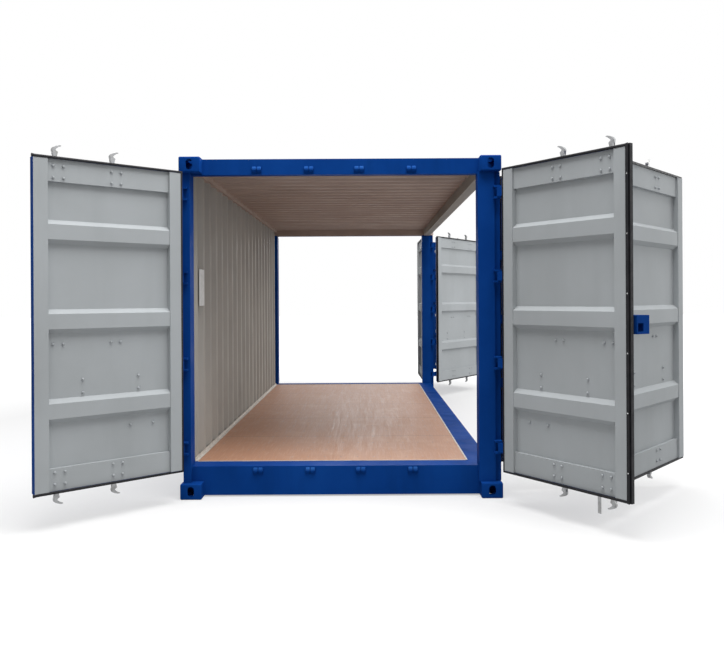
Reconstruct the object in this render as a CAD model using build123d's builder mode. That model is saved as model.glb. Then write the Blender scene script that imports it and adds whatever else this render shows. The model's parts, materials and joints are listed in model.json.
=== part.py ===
"""Twenty foot open-side shipping container with double doors at both ends.

X runs along the length, Y across it towards the folding side doors, Z up.
The origin is on the ground, at the centre of the four bottom corner apertures.
"""
import os
from math import cos, radians, sin

from build123d import *

# Outside of the corner castings
LENGTH = 6058.0
WIDTH = 2438.0
HEIGHT = 2591.0

# Corner castings
CASTING_LONG = 178.0
CASTING_WIDE = 162.0
CASTING_TALL = 118.0
CASTING_FACE = 28.0
CASTING_WALL = 14.0
CASTING_BACK = 10.0
APERTURE_END_INSET = 102.5
APERTURE_SIDE_INSET = 89.5
APERTURE_LONG = 124.0
APERTURE_WIDE = 63.5
SIDE_APERTURE_LONG = 79.5
SIDE_APERTURE_TALL = 52.0

# Hinge pins stand in front of the posts, inside the castings' envelope
PIN_INSET_OUT = 21.0
PIN_INSET_SIDE = 19.0
PIN_RADIUS = 8.0
PIN_CLEARANCE = 0.4
BARREL_RADIUS = 14.0
BARREL_TALL = 70.0
LUG_TALL = 14.0
LUG_AXIAL_GAP = 0.6
LUG_REACH = 40.0
LUG_ROOT = 34.0
BLADE_FRONT = -8.0
BLADE_BACK = -20.0
BLADE_FOOT = 52.0
BLADE_FOOT_START = 8.0
BLADE_SINK = 4.0

# Posts, headers, sills and rails
POST_RECESS = 47.0
LEFT_POST_SIDE_RECESS = 17.0
LEFT_POST_INNER = 75.0
RIGHT_POST_INNER = 173.0
RIGHT_POST_DEPTH = 170.0
FRAME_RECESS = 100.0
SIDE_RECESS = 55.0
THRESHOLD_LONG = 112.0
SILL_BOTTOM = 12.0
SILL_RISE = 114.0
HEADER_DROP = 6.0
HEADER_LIP = 8.0
LEFT_RAIL_INSET = 9.0
LEFT_TOP_RAIL_WIDE = 60.0
LEFT_TOP_RAIL_TALL = 64.0
LEFT_BOTTOM_RAIL_WIDE = 66.0
RAIL_BOTTOM = 60.0
RAIL_PLATE = 6.0
RIGHT_RAIL_INNER = 242.0
RIGHT_TOP_RAIL_INNER = 145.0

# Corrugated left wall and roof
WALL_PITCH = 278.0
WALL_WAVE = 36.0
WALL_FLAT = 72.0
WALL_SHEET = 3.0
WALL_INSET = 12.0
ROOF_PITCH = 209.0
ROOF_WAVE = 20.0
ROOF_FLAT = 70.0
ROOF_SHEET = 3.0
ROOF_DROP = 6.0

# Floor
FLOOR_THICK = 28.0
FLOOR_SEAM = 4.0
CROSS_MEMBER_WIDE = 45.0
CROSS_MEMBER_TALL = 122.0
CROSS_MEMBER_PLATE = 5.0
CROSS_MEMBER_COUNT = 18

# Door leaves, alike at the ends and along the side
LEAF_THICK = 50.0
LEAF_EDGE_GAP = 14.0
LEAF_MEETING_GAP = 36.0
LEAF_END_GAP = 20.0
STILE_WIDE = 95.0
LEAF_RAIL_TALL = 150.0
LEAF_RAIL_THICK = 34.0
PANEL_SHEET = 4.0
PANEL_DEPTH = 6.0
RIB_DEPTH = 36.0
RIB_TALL = 160.0
RIB_BEVEL = 30.0
RIB_CENTRES = (0.24, 0.51, 0.78)
GASKET_SIDE = 9.0
GASKET_END = 15.0
GASKET_FLAP = 22.0
GASKET_START = 18.0
GASKET_DEEP = 26.0

# Lock bars with cams, guides and handles
BAR_RADIUS = 17.0
BAR_STANDOFF = 33.0
BAR_OVERRUN = 65.0
BAR_NEAR = 187.0
BAR_FAR = 587.0
CAM_HUB = 22.0
CAM_TALL = 34.0
CAM_ARM = 46.0
CAM_NOSE = 20.0
GUIDE_WIDE = 54.0
GUIDE_DEEP = 55.0
GUIDE_TALL = 44.0
GUIDE_CLEARANCE = 0.4
GUIDE_HEIGHTS = (0.04, 0.44, 0.96)
HANDLE_LONG = 300.0
HANDLE_TALL = 36.0
HANDLE_THICK = 12.0
HANDLE_LEVEL = 930.0
REST_PLACE = 166.0
REST_WIDE = 40.0
REST_LIP = 6.0
REST_GAP = 0.5

# Cam keepers on headers and sills
KEEPER_GAP = 30.0
KEEPER_WIDE = 14.0
KEEPER_DEEP = 50.0
KEEPER_TALL = 44.0
KEEPER_EDGE = 14.0
KEEPER_PLATE = 6.0
KEEPER_HALF = 46.0

# Lock box and holdback strip on the front right leaf
BOX_LONG = 100.0
BOX_TALL = 118.0
BOX_DEEP = 90.0
BOX_WALL = 5.0
BOX_CENTRE = 1340.0
BOX_EDGE = 14.0
HOLDBACK_WIDE = 24.0
HOLDBACK_THICK = 6.0
HOLDBACK_BOTTOM = 110.0
HOLDBACK_TOP = 300.0
HOLDBACK_EDGE = 250.0

# Hinge heights as shares of the leaf height
END_HINGES = (0.06, 0.35, 0.65, 0.94)
SIDE_HINGES = (0.05, 0.275, 0.5, 0.725, 0.95)

# Folding side doors
SIDE_PIN_BACK = 130.0
FOLD_GAP = 12.0
FOLD_STANDOFF = 22.0
FOLD_TAB = 70.0
FOLD_TAB_THICK = 8.0
SIDE_BAR_EDGE = 500.0
SIDE_BAR_STEP = 560.0

# How far each door stands open, in degrees from closed
FRONT_LEFT_OPEN = 138.0
FRONT_RIGHT_OPEN = 125.0
REAR_LEFT_OPEN = 138.0
REAR_RIGHT_OPEN = 90.0
FRONT_SIDE_OPEN = 82.0
FRONT_SIDE_FOLD = 139.0
REAR_SIDE_OPEN = 145.0
REAR_SIDE_FOLD = 68.0

# Places that follow from the sizes above
END_X = LENGTH / 2
SIDE_Y = WIDTH / 2
LEFT_OPENING = -(SIDE_Y - LEFT_POST_INNER)
RIGHT_OPENING = SIDE_Y - RIGHT_POST_INNER
OPENING_WIDE = RIGHT_OPENING - LEFT_OPENING
PIN_X = END_X - PIN_INSET_OUT
PIN_Y = SIDE_Y - PIN_INSET_SIDE
SILL_TOP = CASTING_TALL + SILL_RISE
HEADER_TOP = HEIGHT - HEADER_DROP
HEADER_BOTTOM = HEIGHT - CASTING_TALL - HEADER_LIP
LEAF_FACE = PIN_INSET_OUT - FRAME_RECESS
SIDE_LEAF_FACE = PIN_INSET_OUT - SIDE_RECESS
LEAF_BOTTOM = SILL_TOP + LEAF_END_GAP
LEAF_TOP = HEADER_BOTTOM - LEAF_END_GAP
LEAF_TALL = LEAF_TOP - LEAF_BOTTOM
END_LEAF_WIDE = (OPENING_WIDE - LEAF_MEETING_GAP) / 2 - LEAF_EDGE_GAP
LEFT_LEAF_START = PIN_Y + LEFT_OPENING + LEAF_EDGE_GAP
RIGHT_LEAF_START = PIN_Y - RIGHT_OPENING + LEAF_EDGE_GAP
SIDE_PIN_X = END_X - SIDE_PIN_BACK
SIDE_PIN_Y = SIDE_Y - PIN_INSET_OUT
SIDE_LEAF_START = RIGHT_POST_DEPTH - SIDE_PIN_BACK + LEAF_EDGE_GAP
SIDE_HALF = END_X - RIGHT_POST_DEPTH
SIDE_LEAF_WIDE = (SIDE_HALF - LEAF_EDGE_GAP - LEAF_MEETING_GAP / 2 - FOLD_GAP) / 2
FOLD_FACE = -FOLD_STANDOFF
CASTING_X = END_X - CASTING_LONG / 2
CASTING_Y = SIDE_Y - CASTING_WIDE / 2
FLOOR_LEFT = -(SIDE_Y - LEFT_RAIL_INSET - LEFT_BOTTOM_RAIL_WIDE)
FLOOR_RIGHT = SIDE_Y - RIGHT_RAIL_INNER
FRAME_DEPTH = CASTING_LONG - FRAME_RECESS
FLOOR_END = END_X - CASTING_LONG - THRESHOLD_LONG

os.makedirs("parts", exist_ok=True)


def write_part(part, name):
    """Label a finished piece and write it."""
    part.label = name
    export_step(part, f"parts/{name}.step")


def slab(plane, u_span, v_span, z_span, mode=Mode.ADD):
    """A straight bar or plate between limits on a plan plane."""
    with BuildSketch(plane.offset(z_span[0])) as outline:
        with Locations(((u_span[0] + u_span[1]) / 2, (v_span[0] + v_span[1]) / 2)):
            Rectangle(abs(u_span[1] - u_span[0]), abs(v_span[1] - v_span[0]))
    extrude(outline.sketch, amount=z_span[1] - z_span[0], mode=mode)


class Leaf:
    """Plan frame of a door leaf: u along it from the pin, v out of its face."""

    def __init__(self, pin, closed, hand, opened, start, wide, face):
        angle = radians(closed + hand * opened)
        self.pin = Vector(pin[0], pin[1], 0)
        self.along = Vector(cos(angle), sin(angle), 0)
        self.out = Vector(-sin(angle), cos(angle), 0) * hand
        self.angle = closed + hand * opened
        self.hand = hand
        self.start = start
        self.end = start + wide
        self.wide = wide
        self.face = face
        self.plan = Plane(origin=self.pin, x_dir=self.along, z_dir=(0, 0, 1))

    def spans(self, v_low, v_high):
        """Limits across the leaf, turned to the side it faces."""
        return (self.hand * v_low, self.hand * v_high)

    def face_plane(self, depth):
        """Plane of the outer face, sunk by depth, with u across and Z up."""
        origin = self.pin + self.out * (self.face - depth)
        return Plane(origin=origin, x_dir=self.along, z_dir=self.along.cross(Vector(0, 0, 1)))

    def section_plane(self, u_place):
        """Plane across the leaf at u, with the depth inwards and Z up."""
        inward = self.out * -1
        origin = self.pin + self.along * u_place + self.out * self.face
        return Plane(origin=origin, x_dir=inward, z_dir=inward.cross(Vector(0, 0, 1)))

    def fold_pin(self):
        """Place of the fold hinge at the free edge, out of the outer face."""
        place = self.pin + self.along * (self.end + FOLD_GAP / 2)
        place += self.out * (self.face + FOLD_STANDOFF)
        return (place.X, place.Y)


def end_leaf(x_side, y_side, opened):
    """Leaf at one end, hung on the post at one side."""
    start = LEFT_LEAF_START if y_side < 0 else RIGHT_LEAF_START
    hand = x_side * y_side
    return Leaf((x_side * PIN_X, y_side * PIN_Y), -90 * y_side, hand, opened,
                start, END_LEAF_WIDE, LEAF_FACE)


def side_leaf(x_side, opened):
    """First leaf of a folding pair, hung on a right-hand post."""
    closed = 180 if x_side > 0 else 0
    return Leaf((x_side * SIDE_PIN_X, SIDE_PIN_Y), closed, -x_side, opened,
                SIDE_LEAF_START, SIDE_LEAF_WIDE, SIDE_LEAF_FACE)


def folded_leaf(first, fold):
    """Second leaf of a folding pair, hung on the first one's free edge."""
    return Leaf(first.fold_pin(), first.angle, first.hand, fold,
                FOLD_GAP / 2, SIDE_LEAF_WIDE, FOLD_FACE)


def hinge_levels(shares):
    """Middle heights of a leaf's hinges."""
    return [LEAF_BOTTOM + share * LEAF_TALL for share in shares]


def panel_profile():
    """Sheet section with three bevelled ribs pressed inwards, depth by height."""
    low = LEAF_BOTTOM + LEAF_RAIL_TALL
    high = LEAF_TOP - LEAF_RAIL_TALL
    outer = [(PANEL_DEPTH, low)]
    for share in RIB_CENTRES:
        middle = LEAF_BOTTOM + share * LEAF_TALL
        outer.append((PANEL_DEPTH, middle - RIB_TALL / 2))
        outer.append((PANEL_DEPTH + RIB_DEPTH, middle - RIB_TALL / 2 + RIB_BEVEL))
        outer.append((PANEL_DEPTH + RIB_DEPTH, middle + RIB_TALL / 2 - RIB_BEVEL))
        outer.append((PANEL_DEPTH, middle + RIB_TALL / 2))
    outer.append((PANEL_DEPTH, high))
    inner = [(depth + PANEL_SHEET, height) for depth, height in reversed(outer)]
    return outer + inner


def add_leaf(leaf):
    """Welded frame of stiles and shallower rails, with its ribbed sheet."""
    level = (LEAF_BOTTOM + LEAF_TOP) / 2
    middle = (leaf.start + leaf.end) / 2
    with BuildSketch(leaf.face_plane(0)) as outline:
        with Locations((leaf.start + STILE_WIDE / 2, level), (leaf.end - STILE_WIDE / 2, level)):
            Rectangle(STILE_WIDE, LEAF_TALL)
    extrude(outline.sketch, amount=leaf.hand * LEAF_THICK)
    with BuildSketch(leaf.face_plane(0)) as outline:
        with Locations((middle, LEAF_BOTTOM + LEAF_RAIL_TALL / 2), (middle, LEAF_TOP - LEAF_RAIL_TALL / 2)):
            Rectangle(leaf.wide - 2 * STILE_WIDE, LEAF_RAIL_TALL)
    extrude(outline.sketch, amount=leaf.hand * LEAF_RAIL_THICK)
    with BuildSketch(leaf.section_plane(leaf.start + STILE_WIDE)) as outline:
        with BuildLine():
            Polyline(*panel_profile(), close=True)
        make_face()
    extrude(outline.sketch, amount=-leaf.hand * (leaf.wide - 2 * STILE_WIDE))


def add_blades(leaf, levels):
    """Cranked hinge blades from the leaf's face to a barrel on the pin."""
    foot_start = leaf.start + BLADE_FOOT_START
    crank = [
        (0, BLADE_BACK),
        (foot_start, BLADE_BACK),
        (foot_start, leaf.face - BLADE_SINK),
        (foot_start + BLADE_FOOT, leaf.face - BLADE_SINK),
        (foot_start + BLADE_FOOT, BLADE_FRONT),
        (0, BLADE_FRONT),
    ]
    for level in levels:
        with BuildSketch(leaf.plan.offset(level - BARREL_TALL / 2)) as outline:
            with BuildLine():
                Polyline(*[(u, leaf.hand * v) for u, v in crank], close=True)
            make_face()
            Circle(BARREL_RADIUS)
            Circle(PIN_RADIUS + PIN_CLEARANCE, mode=Mode.SUBTRACT)
        extrude(outline.sketch, amount=BARREL_TALL)


def add_lugs(leaf, levels):
    """Pairs of lugs on a post, each with the pin that its barrel turns on."""
    reach = BARREL_TALL / 2 + LUG_AXIAL_GAP
    for level in levels:
        with BuildSketch(leaf.plan.offset(level - reach - LUG_TALL)) as outline:
            Circle(PIN_RADIUS)
        extrude(outline.sketch, amount=2 * (reach + LUG_TALL))
        for base in (level - reach - LUG_TALL, level + reach):
            slab(leaf.plan, (-BARREL_RADIUS, LUG_REACH), leaf.spans(-LUG_ROOT, BARREL_RADIUS),
                 (base, base + LUG_TALL))


def add_gasket(leaf, free_edge):
    """Rubber seal round a leaf's edges, standing out from the free edge as far as is given."""
    level = (LEAF_BOTTOM + LEAF_TOP) / 2
    low_u = leaf.start - GASKET_SIDE
    high_u = leaf.end + free_edge
    with BuildSketch(leaf.face_plane(GASKET_START)) as outline:
        with Locations(((low_u + high_u) / 2, level)):
            Rectangle(high_u - low_u, LEAF_TALL + 2 * GASKET_END)
        with Locations(((leaf.start + leaf.end) / 2, level)):
            Rectangle(leaf.wide, LEAF_TALL, mode=Mode.SUBTRACT)
    extrude(outline.sketch, amount=leaf.hand * GASKET_DEEP)


def add_lock_bar(leaf, u_bar):
    """One bar with its tapered cams and handle, its guides and its handle rest."""
    axis = leaf.face + BAR_STANDOFF
    with BuildSketch(leaf.plan.offset(LEAF_BOTTOM - BAR_OVERRUN)) as outline:
        with Locations((u_bar, leaf.hand * axis)):
            Circle(BAR_RADIUS)
    extrude(outline.sketch, amount=LEAF_TALL + 2 * BAR_OVERRUN)
    cam = [
        (CAM_HUB, -CAM_HUB), (CAM_HUB, CAM_HUB), (-CAM_HUB, CAM_HUB),
        (-CAM_ARM, CAM_NOSE / 2), (-CAM_ARM, -CAM_NOSE / 2), (-CAM_HUB, -CAM_HUB),
    ]
    for base in (LEAF_BOTTOM - BAR_OVERRUN, LEAF_TOP + BAR_OVERRUN - CAM_TALL):
        with BuildSketch(leaf.plan.offset(base)) as outline:
            with BuildLine():
                Polyline(*[(u_bar + u, leaf.hand * (axis + v)) for u, v in cam], close=True)
            make_face()
        extrude(outline.sketch, amount=CAM_TALL)
    handle_z = (HANDLE_LEVEL - HANDLE_TALL / 2, HANDLE_LEVEL + HANDLE_TALL / 2)
    slab(leaf.plan, (u_bar - HANDLE_LONG, u_bar),
         leaf.spans(axis - HANDLE_THICK / 2, axis + HANDLE_THICK / 2), handle_z)
    channel = 2 * (BAR_RADIUS + GUIDE_CLEARANCE)
    for share in GUIDE_HEIGHTS:
        middle = LEAF_BOTTOM + share * LEAF_TALL
        with BuildSketch(leaf.plan.offset(middle - GUIDE_TALL / 2)) as outline:
            with Locations((u_bar, leaf.hand * (leaf.face + GUIDE_DEEP / 2))):
                Rectangle(GUIDE_WIDE, GUIDE_DEEP)
            with Locations((u_bar, leaf.hand * axis)):
                Rectangle(channel, channel, mode=Mode.SUBTRACT)
        extrude(outline.sketch, amount=GUIDE_TALL)
    rest_u = (u_bar - REST_PLACE - REST_WIDE / 2, u_bar - REST_PLACE + REST_WIDE / 2)
    rest_low = handle_z[0] - REST_GAP - REST_LIP
    slab(leaf.plan, rest_u, leaf.spans(leaf.face, axis - HANDLE_THICK / 2 - REST_GAP),
         (rest_low, handle_z[1]))
    slab(leaf.plan, rest_u, leaf.spans(leaf.face, axis + HANDLE_THICK / 2),
         (rest_low, rest_low + REST_LIP))


def corrugation(start, end, pitch, wave, flat, sheet):
    """Trapezoid wave between two places, as wide flats joined by slopes."""
    count = int((end - start) / pitch)
    slope = pitch / 2 - flat
    place = start + (end - start - count * pitch) / 2
    line = [(start, 0)]
    for _ in range(count):
        line.append((place + slope / 2, 0))
        line.append((place + slope / 2 + slope, wave))
        line.append((place + slope / 2 + slope + flat, wave))
        line.append((place + slope / 2 + 2 * slope + flat, 0))
        place += pitch
    line.append((end, 0))
    back = [(along, across + sheet) for along, across in reversed(line)]
    return line + back


def make_castings():
    """Hollow corner castings with an oval aperture in each outer face."""
    for x_name, x_side in (("front", 1), ("rear", -1)):
        for y_name, y_side in (("left", -1), ("right", 1)):
            for z_name, z_side in (("bottom", -1), ("top", 1)):
                with BuildPart() as casting:
                    add_casting(x_side, y_side, z_side)
                write_part(casting.part, f"{x_name}_{y_name}_{z_name}_casting")


def add_casting(x_side, y_side, z_side):
    """One casting: a block, its hollow, and apertures below or above, end and side."""
    base = 0 if z_side < 0 else HEIGHT - CASTING_TALL
    middle = base + CASTING_TALL / 2
    outer_z = 0 if z_side < 0 else HEIGHT
    with Locations((x_side * CASTING_X, y_side * CASTING_Y, middle)):
        Box(CASTING_LONG, CASTING_WIDE, CASTING_TALL)
    hollow_low = base + (CASTING_FACE if z_side < 0 else CASTING_BACK)
    hollow_tall = CASTING_TALL - CASTING_FACE - CASTING_BACK
    with Locations((x_side * CASTING_X, y_side * CASTING_Y, hollow_low + hollow_tall / 2)):
        Box(CASTING_LONG - 2 * CASTING_WALL, CASTING_WIDE - 2 * CASTING_WALL, hollow_tall,
            mode=Mode.SUBTRACT)
    place_x = x_side * (END_X - APERTURE_END_INSET)
    place_y = y_side * (SIDE_Y - APERTURE_SIDE_INSET)
    with BuildSketch(Plane.XY.offset(outer_z)) as outline:
        with Locations((place_x, place_y)):
            SlotOverall(APERTURE_LONG, APERTURE_WIDE)
    extrude(outline.sketch, amount=-z_side * CASTING_FACE, mode=Mode.SUBTRACT)
    end_face = Plane(origin=(x_side * END_X, y_side * CASTING_Y, middle), x_dir=(0, 1, 0), z_dir=(1, 0, 0))
    with BuildSketch(end_face) as outline:
        SlotOverall(SIDE_APERTURE_LONG, SIDE_APERTURE_TALL)
    extrude(outline.sketch, amount=-x_side * CASTING_WALL, mode=Mode.SUBTRACT)
    side_face = Plane(origin=(x_side * CASTING_X, y_side * SIDE_Y, middle), x_dir=(1, 0, 0), z_dir=(0, -1, 0))
    with BuildSketch(side_face) as outline:
        SlotOverall(SIDE_APERTURE_LONG, SIDE_APERTURE_TALL)
    extrude(outline.sketch, amount=y_side * CASTING_WALL, mode=Mode.SUBTRACT)


def make_posts():
    """Corner posts between the castings, with hinge lugs and pins."""
    post_z = (CASTING_TALL, HEIGHT - CASTING_TALL)
    for name, x_side in (("front", 1), ("rear", -1)):
        near = x_side * (END_X - POST_RECESS)
        with BuildPart() as left_post:
            slab(Plane.XY, (near, x_side * (END_X - CASTING_LONG)),
                 (-(SIDE_Y - LEFT_POST_SIDE_RECESS), LEFT_OPENING), post_z)
            add_lugs(end_leaf(x_side, -1, 0), hinge_levels(END_HINGES))
        write_part(left_post.part, f"{name}_left_post")
        with BuildPart() as right_post:
            slab(Plane.XY, (near, x_side * (END_X - RIGHT_POST_DEPTH)),
                 (RIGHT_OPENING, SIDE_Y - POST_RECESS), post_z)
            add_lugs(end_leaf(x_side, 1, 0), hinge_levels(END_HINGES))
            add_lugs(side_leaf(x_side, 0), hinge_levels(SIDE_HINGES))
        write_part(right_post.part, f"{name}_right_post")


def make_end_frames():
    """Headers and sills, stepped to fit round the castings and between the posts."""
    casting_inner = SIDE_Y - CASTING_WIDE
    top_step = HEIGHT - CASTING_TALL
    header_outline = [
        (LEFT_OPENING, HEADER_BOTTOM), (RIGHT_OPENING, HEADER_BOTTOM), (RIGHT_OPENING, top_step),
        (casting_inner, top_step), (casting_inner, HEADER_TOP), (-casting_inner, HEADER_TOP),
        (-casting_inner, top_step), (LEFT_OPENING, top_step),
    ]
    sill_outline = [
        (-casting_inner, SILL_BOTTOM), (casting_inner, SILL_BOTTOM), (casting_inner, CASTING_TALL),
        (RIGHT_OPENING, CASTING_TALL), (RIGHT_OPENING, SILL_TOP), (LEFT_OPENING, SILL_TOP),
        (LEFT_OPENING, CASTING_TALL), (-casting_inner, CASTING_TALL),
    ]
    for name, x_side in (("front", 1), ("rear", -1)):
        face = Plane(origin=(x_side * (END_X - FRAME_RECESS), 0, 0), x_dir=(0, 1, 0), z_dir=(1, 0, 0))
        with BuildPart() as header:
            with BuildSketch(face):
                with BuildLine():
                    Polyline(*header_outline, close=True)
                make_face()
            extrude(amount=-x_side * FRAME_DEPTH)
        write_part(header.part, f"{name}_header")
        with BuildPart() as sill:
            with BuildSketch(face):
                with BuildLine():
                    Polyline(*sill_outline, close=True)
                make_face()
            extrude(amount=-x_side * FRAME_DEPTH)
        write_part(sill.part, f"{name}_sill")


def make_keepers():
    """Cam keepers: a plate on the frame with a prong beside each cam."""
    opening_middle = (LEFT_OPENING + RIGHT_OPENING) / 2
    for name, x_side in (("front", 1), ("rear", -1)):
        with BuildPart() as keepers:
            for y_side in (-1, 1):
                leaf = end_leaf(x_side, y_side, 0)
                middle = abs(y_side * PIN_Y - opening_middle)
                for bar_place in (BAR_NEAR, BAR_FAR):
                    u_bar = middle - bar_place
                    for base in (SILL_TOP - KEEPER_EDGE - KEEPER_TALL, HEADER_BOTTOM + KEEPER_EDGE):
                        levels = (base, base + KEEPER_TALL)
                        slab(leaf.plan, (u_bar - KEEPER_HALF, u_bar + KEEPER_GAP + KEEPER_WIDE),
                             leaf.spans(leaf.face, leaf.face + KEEPER_PLATE), levels)
                        slab(leaf.plan, (u_bar + KEEPER_GAP, u_bar + KEEPER_GAP + KEEPER_WIDE),
                             leaf.spans(leaf.face, leaf.face + KEEPER_DEEP), levels)
        write_part(keepers.part, f"{name}_cam_keepers")


def make_rails():
    """Side rails between the castings, and the corrugated wall and roof they carry."""
    rail_x = (-(END_X - CASTING_LONG), END_X - CASTING_LONG)
    left_face = -(SIDE_Y - LEFT_RAIL_INSET)
    with BuildPart() as left_top_rail:
        slab(Plane.XY, rail_x, (left_face, left_face + LEFT_TOP_RAIL_WIDE),
             (HEADER_TOP - LEFT_TOP_RAIL_TALL, HEADER_TOP))
    write_part(left_top_rail.part, "left_top_rail")
    with BuildPart() as left_bottom_rail:
        slab(Plane.XY, rail_x, (left_face, left_face + LEFT_BOTTOM_RAIL_WIDE), (RAIL_BOTTOM, SILL_TOP))
        slab(Plane.XY, rail_x, (left_face + RAIL_PLATE, left_face + LEFT_BOTTOM_RAIL_WIDE),
             (RAIL_BOTTOM + RAIL_PLATE, SILL_TOP - RAIL_PLATE), mode=Mode.SUBTRACT)
    write_part(left_bottom_rail.part, "left_bottom_rail")
    with BuildPart() as right_top_rail:
        slab(Plane.XY, rail_x, (SIDE_Y - RIGHT_TOP_RAIL_INNER, SIDE_Y - SIDE_RECESS),
             (HEADER_BOTTOM, HEADER_TOP))
    write_part(right_top_rail.part, "right_top_rail")
    with BuildPart() as right_bottom_rail:
        slab(Plane.XY, rail_x, (FLOOR_RIGHT, SIDE_Y - SIDE_RECESS), (RAIL_BOTTOM, SILL_TOP))
    write_part(right_bottom_rail.part, "right_bottom_rail")


def make_skins():
    """Corrugated left wall and roof."""
    wall_end = END_X - CASTING_LONG
    wall_base = -(SIDE_Y - WALL_INSET)
    wall_plan = Plane.XY.offset(SILL_TOP)
    with BuildPart() as left_wall:
        with BuildSketch(wall_plan):
            with BuildLine():
                wave = corrugation(-wall_end, wall_end, WALL_PITCH, WALL_WAVE, WALL_FLAT, WALL_SHEET)
                Polyline(*[(along, wall_base + across) for along, across in wave], close=True)
            make_face()
        extrude(amount=HEADER_TOP - LEFT_TOP_RAIL_TALL - SILL_TOP)
    write_part(left_wall.part, "left_wall")
    roof_left = -(SIDE_Y - LEFT_RAIL_INSET - LEFT_TOP_RAIL_WIDE)
    roof_right = SIDE_Y - RIGHT_TOP_RAIL_INNER
    roof_end = END_X - CASTING_LONG
    roof_base = HEADER_TOP - ROOF_DROP - ROOF_WAVE - ROOF_SHEET
    with BuildPart() as roof:
        with BuildSketch(Plane(origin=(0, roof_left, 0), x_dir=(1, 0, 0), z_dir=(0, -1, 0))):
            with BuildLine():
                wave = corrugation(-roof_end, roof_end, ROOF_PITCH, ROOF_WAVE, ROOF_FLAT, ROOF_SHEET)
                Polyline(*[(along, roof_base + across) for along, across in wave], close=True)
            make_face()
        extrude(amount=-(roof_right - roof_left))
    write_part(roof.part, "roof")


def make_floor():
    """Plywood floor in two runs, and the channel cross members under it."""
    seam = (FLOOR_LEFT + FLOOR_RIGHT) / 2
    floor_z = (SILL_TOP - FLOOR_THICK, SILL_TOP)
    with BuildPart() as floor:
        slab(Plane.XY, (-FLOOR_END, FLOOR_END), (FLOOR_LEFT, seam - FLOOR_SEAM / 2), floor_z)
        slab(Plane.XY, (-FLOOR_END, FLOOR_END), (seam + FLOOR_SEAM / 2, FLOOR_RIGHT), floor_z)
    write_part(floor.part, "plywood_floor")
    with BuildPart() as thresholds:
        for x_side in (-1, 1):
            slab(Plane.XY, (x_side * FLOOR_END, x_side * (END_X - CASTING_LONG)), (FLOOR_LEFT, FLOOR_RIGHT),
                 floor_z)
    write_part(thresholds.part, "threshold_plates")
    pitch = 2 * FLOOR_END / CROSS_MEMBER_COUNT
    top = SILL_TOP - FLOOR_THICK
    half = CROSS_MEMBER_WIDE / 2
    low = top - CROSS_MEMBER_TALL
    channel = [
        (-half, low), (half, low), (half, low + CROSS_MEMBER_PLATE),
        (CROSS_MEMBER_PLATE - half, low + CROSS_MEMBER_PLATE),
        (CROSS_MEMBER_PLATE - half, top - CROSS_MEMBER_PLATE),
        (half, top - CROSS_MEMBER_PLATE), (half, top), (-half, top),
    ]
    with BuildPart() as cross_members:
        for index in range(CROSS_MEMBER_COUNT):
            place = -FLOOR_END + (index + 0.5) * pitch
            with BuildSketch(Plane(origin=(place, FLOOR_LEFT, 0), x_dir=(1, 0, 0), z_dir=(0, -1, 0))):
                with BuildLine():
                    Polyline(*channel, close=True)
                make_face()
            extrude(amount=-(FLOOR_RIGHT - FLOOR_LEFT))
    write_part(cross_members.part, "cross_members")


def make_end_doors():
    """Four end leaves with their seals and lock gear."""
    opening_middle = (LEFT_OPENING + RIGHT_OPENING) / 2
    doors = {
        "front_left": (1, -1, FRONT_LEFT_OPEN),
        "front_right": (1, 1, FRONT_RIGHT_OPEN),
        "rear_left": (-1, -1, REAR_LEFT_OPEN),
        "rear_right": (-1, 1, REAR_RIGHT_OPEN),
    }
    for name, (x_side, y_side, opened) in doors.items():
        leaf = end_leaf(x_side, y_side, opened)
        middle = abs(y_side * PIN_Y - opening_middle)
        with BuildPart() as door:
            add_leaf(leaf)
            add_blades(leaf, hinge_levels(END_HINGES))
        write_part(door.part, f"{name}_door")
        with BuildPart() as gasket:
            add_gasket(leaf, GASKET_FLAP if y_side > 0 else 0)
        write_part(gasket.part, f"{name}_door_gasket")
        with BuildPart() as gear:
            add_lock_bar(leaf, middle - BAR_NEAR)
            add_lock_bar(leaf, middle - BAR_FAR)
        write_part(gear.part, f"{name}_lock_gear")


def make_lock_box():
    """Open-bottomed lock box and holdback strip on the front right leaf."""
    leaf = end_leaf(1, 1, FRONT_RIGHT_OPEN)
    low = BOX_CENTRE - BOX_TALL / 2
    high = BOX_CENTRE + BOX_TALL / 2
    box_end = leaf.end - BOX_EDGE
    box_start = box_end - BOX_LONG
    with BuildPart() as lock_box:
        slab(leaf.plan, (box_start, box_end), leaf.spans(leaf.face, leaf.face + BOX_DEEP), (low, high))
        slab(leaf.plan, (box_start + BOX_WALL, box_end - BOX_WALL),
             leaf.spans(leaf.face + BOX_WALL, leaf.face + BOX_DEEP - BOX_WALL),
             (low, high - BOX_WALL), mode=Mode.SUBTRACT)
    write_part(lock_box.part, "lock_box")
    strip_end = leaf.end - HOLDBACK_EDGE
    strip_start = strip_end - HOLDBACK_WIDE
    with BuildPart() as holdback:
        slab(leaf.plan, (strip_start, strip_end),
             leaf.spans(leaf.face + HOLDBACK_THICK, leaf.face + 2 * HOLDBACK_THICK),
             (HOLDBACK_BOTTOM, HOLDBACK_TOP))
        slab(leaf.plan, (strip_start, strip_end), leaf.spans(leaf.face, leaf.face + HOLDBACK_THICK),
             (HOLDBACK_TOP - HOLDBACK_WIDE, HOLDBACK_TOP))
    write_part(holdback.part, "door_holdback")


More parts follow.
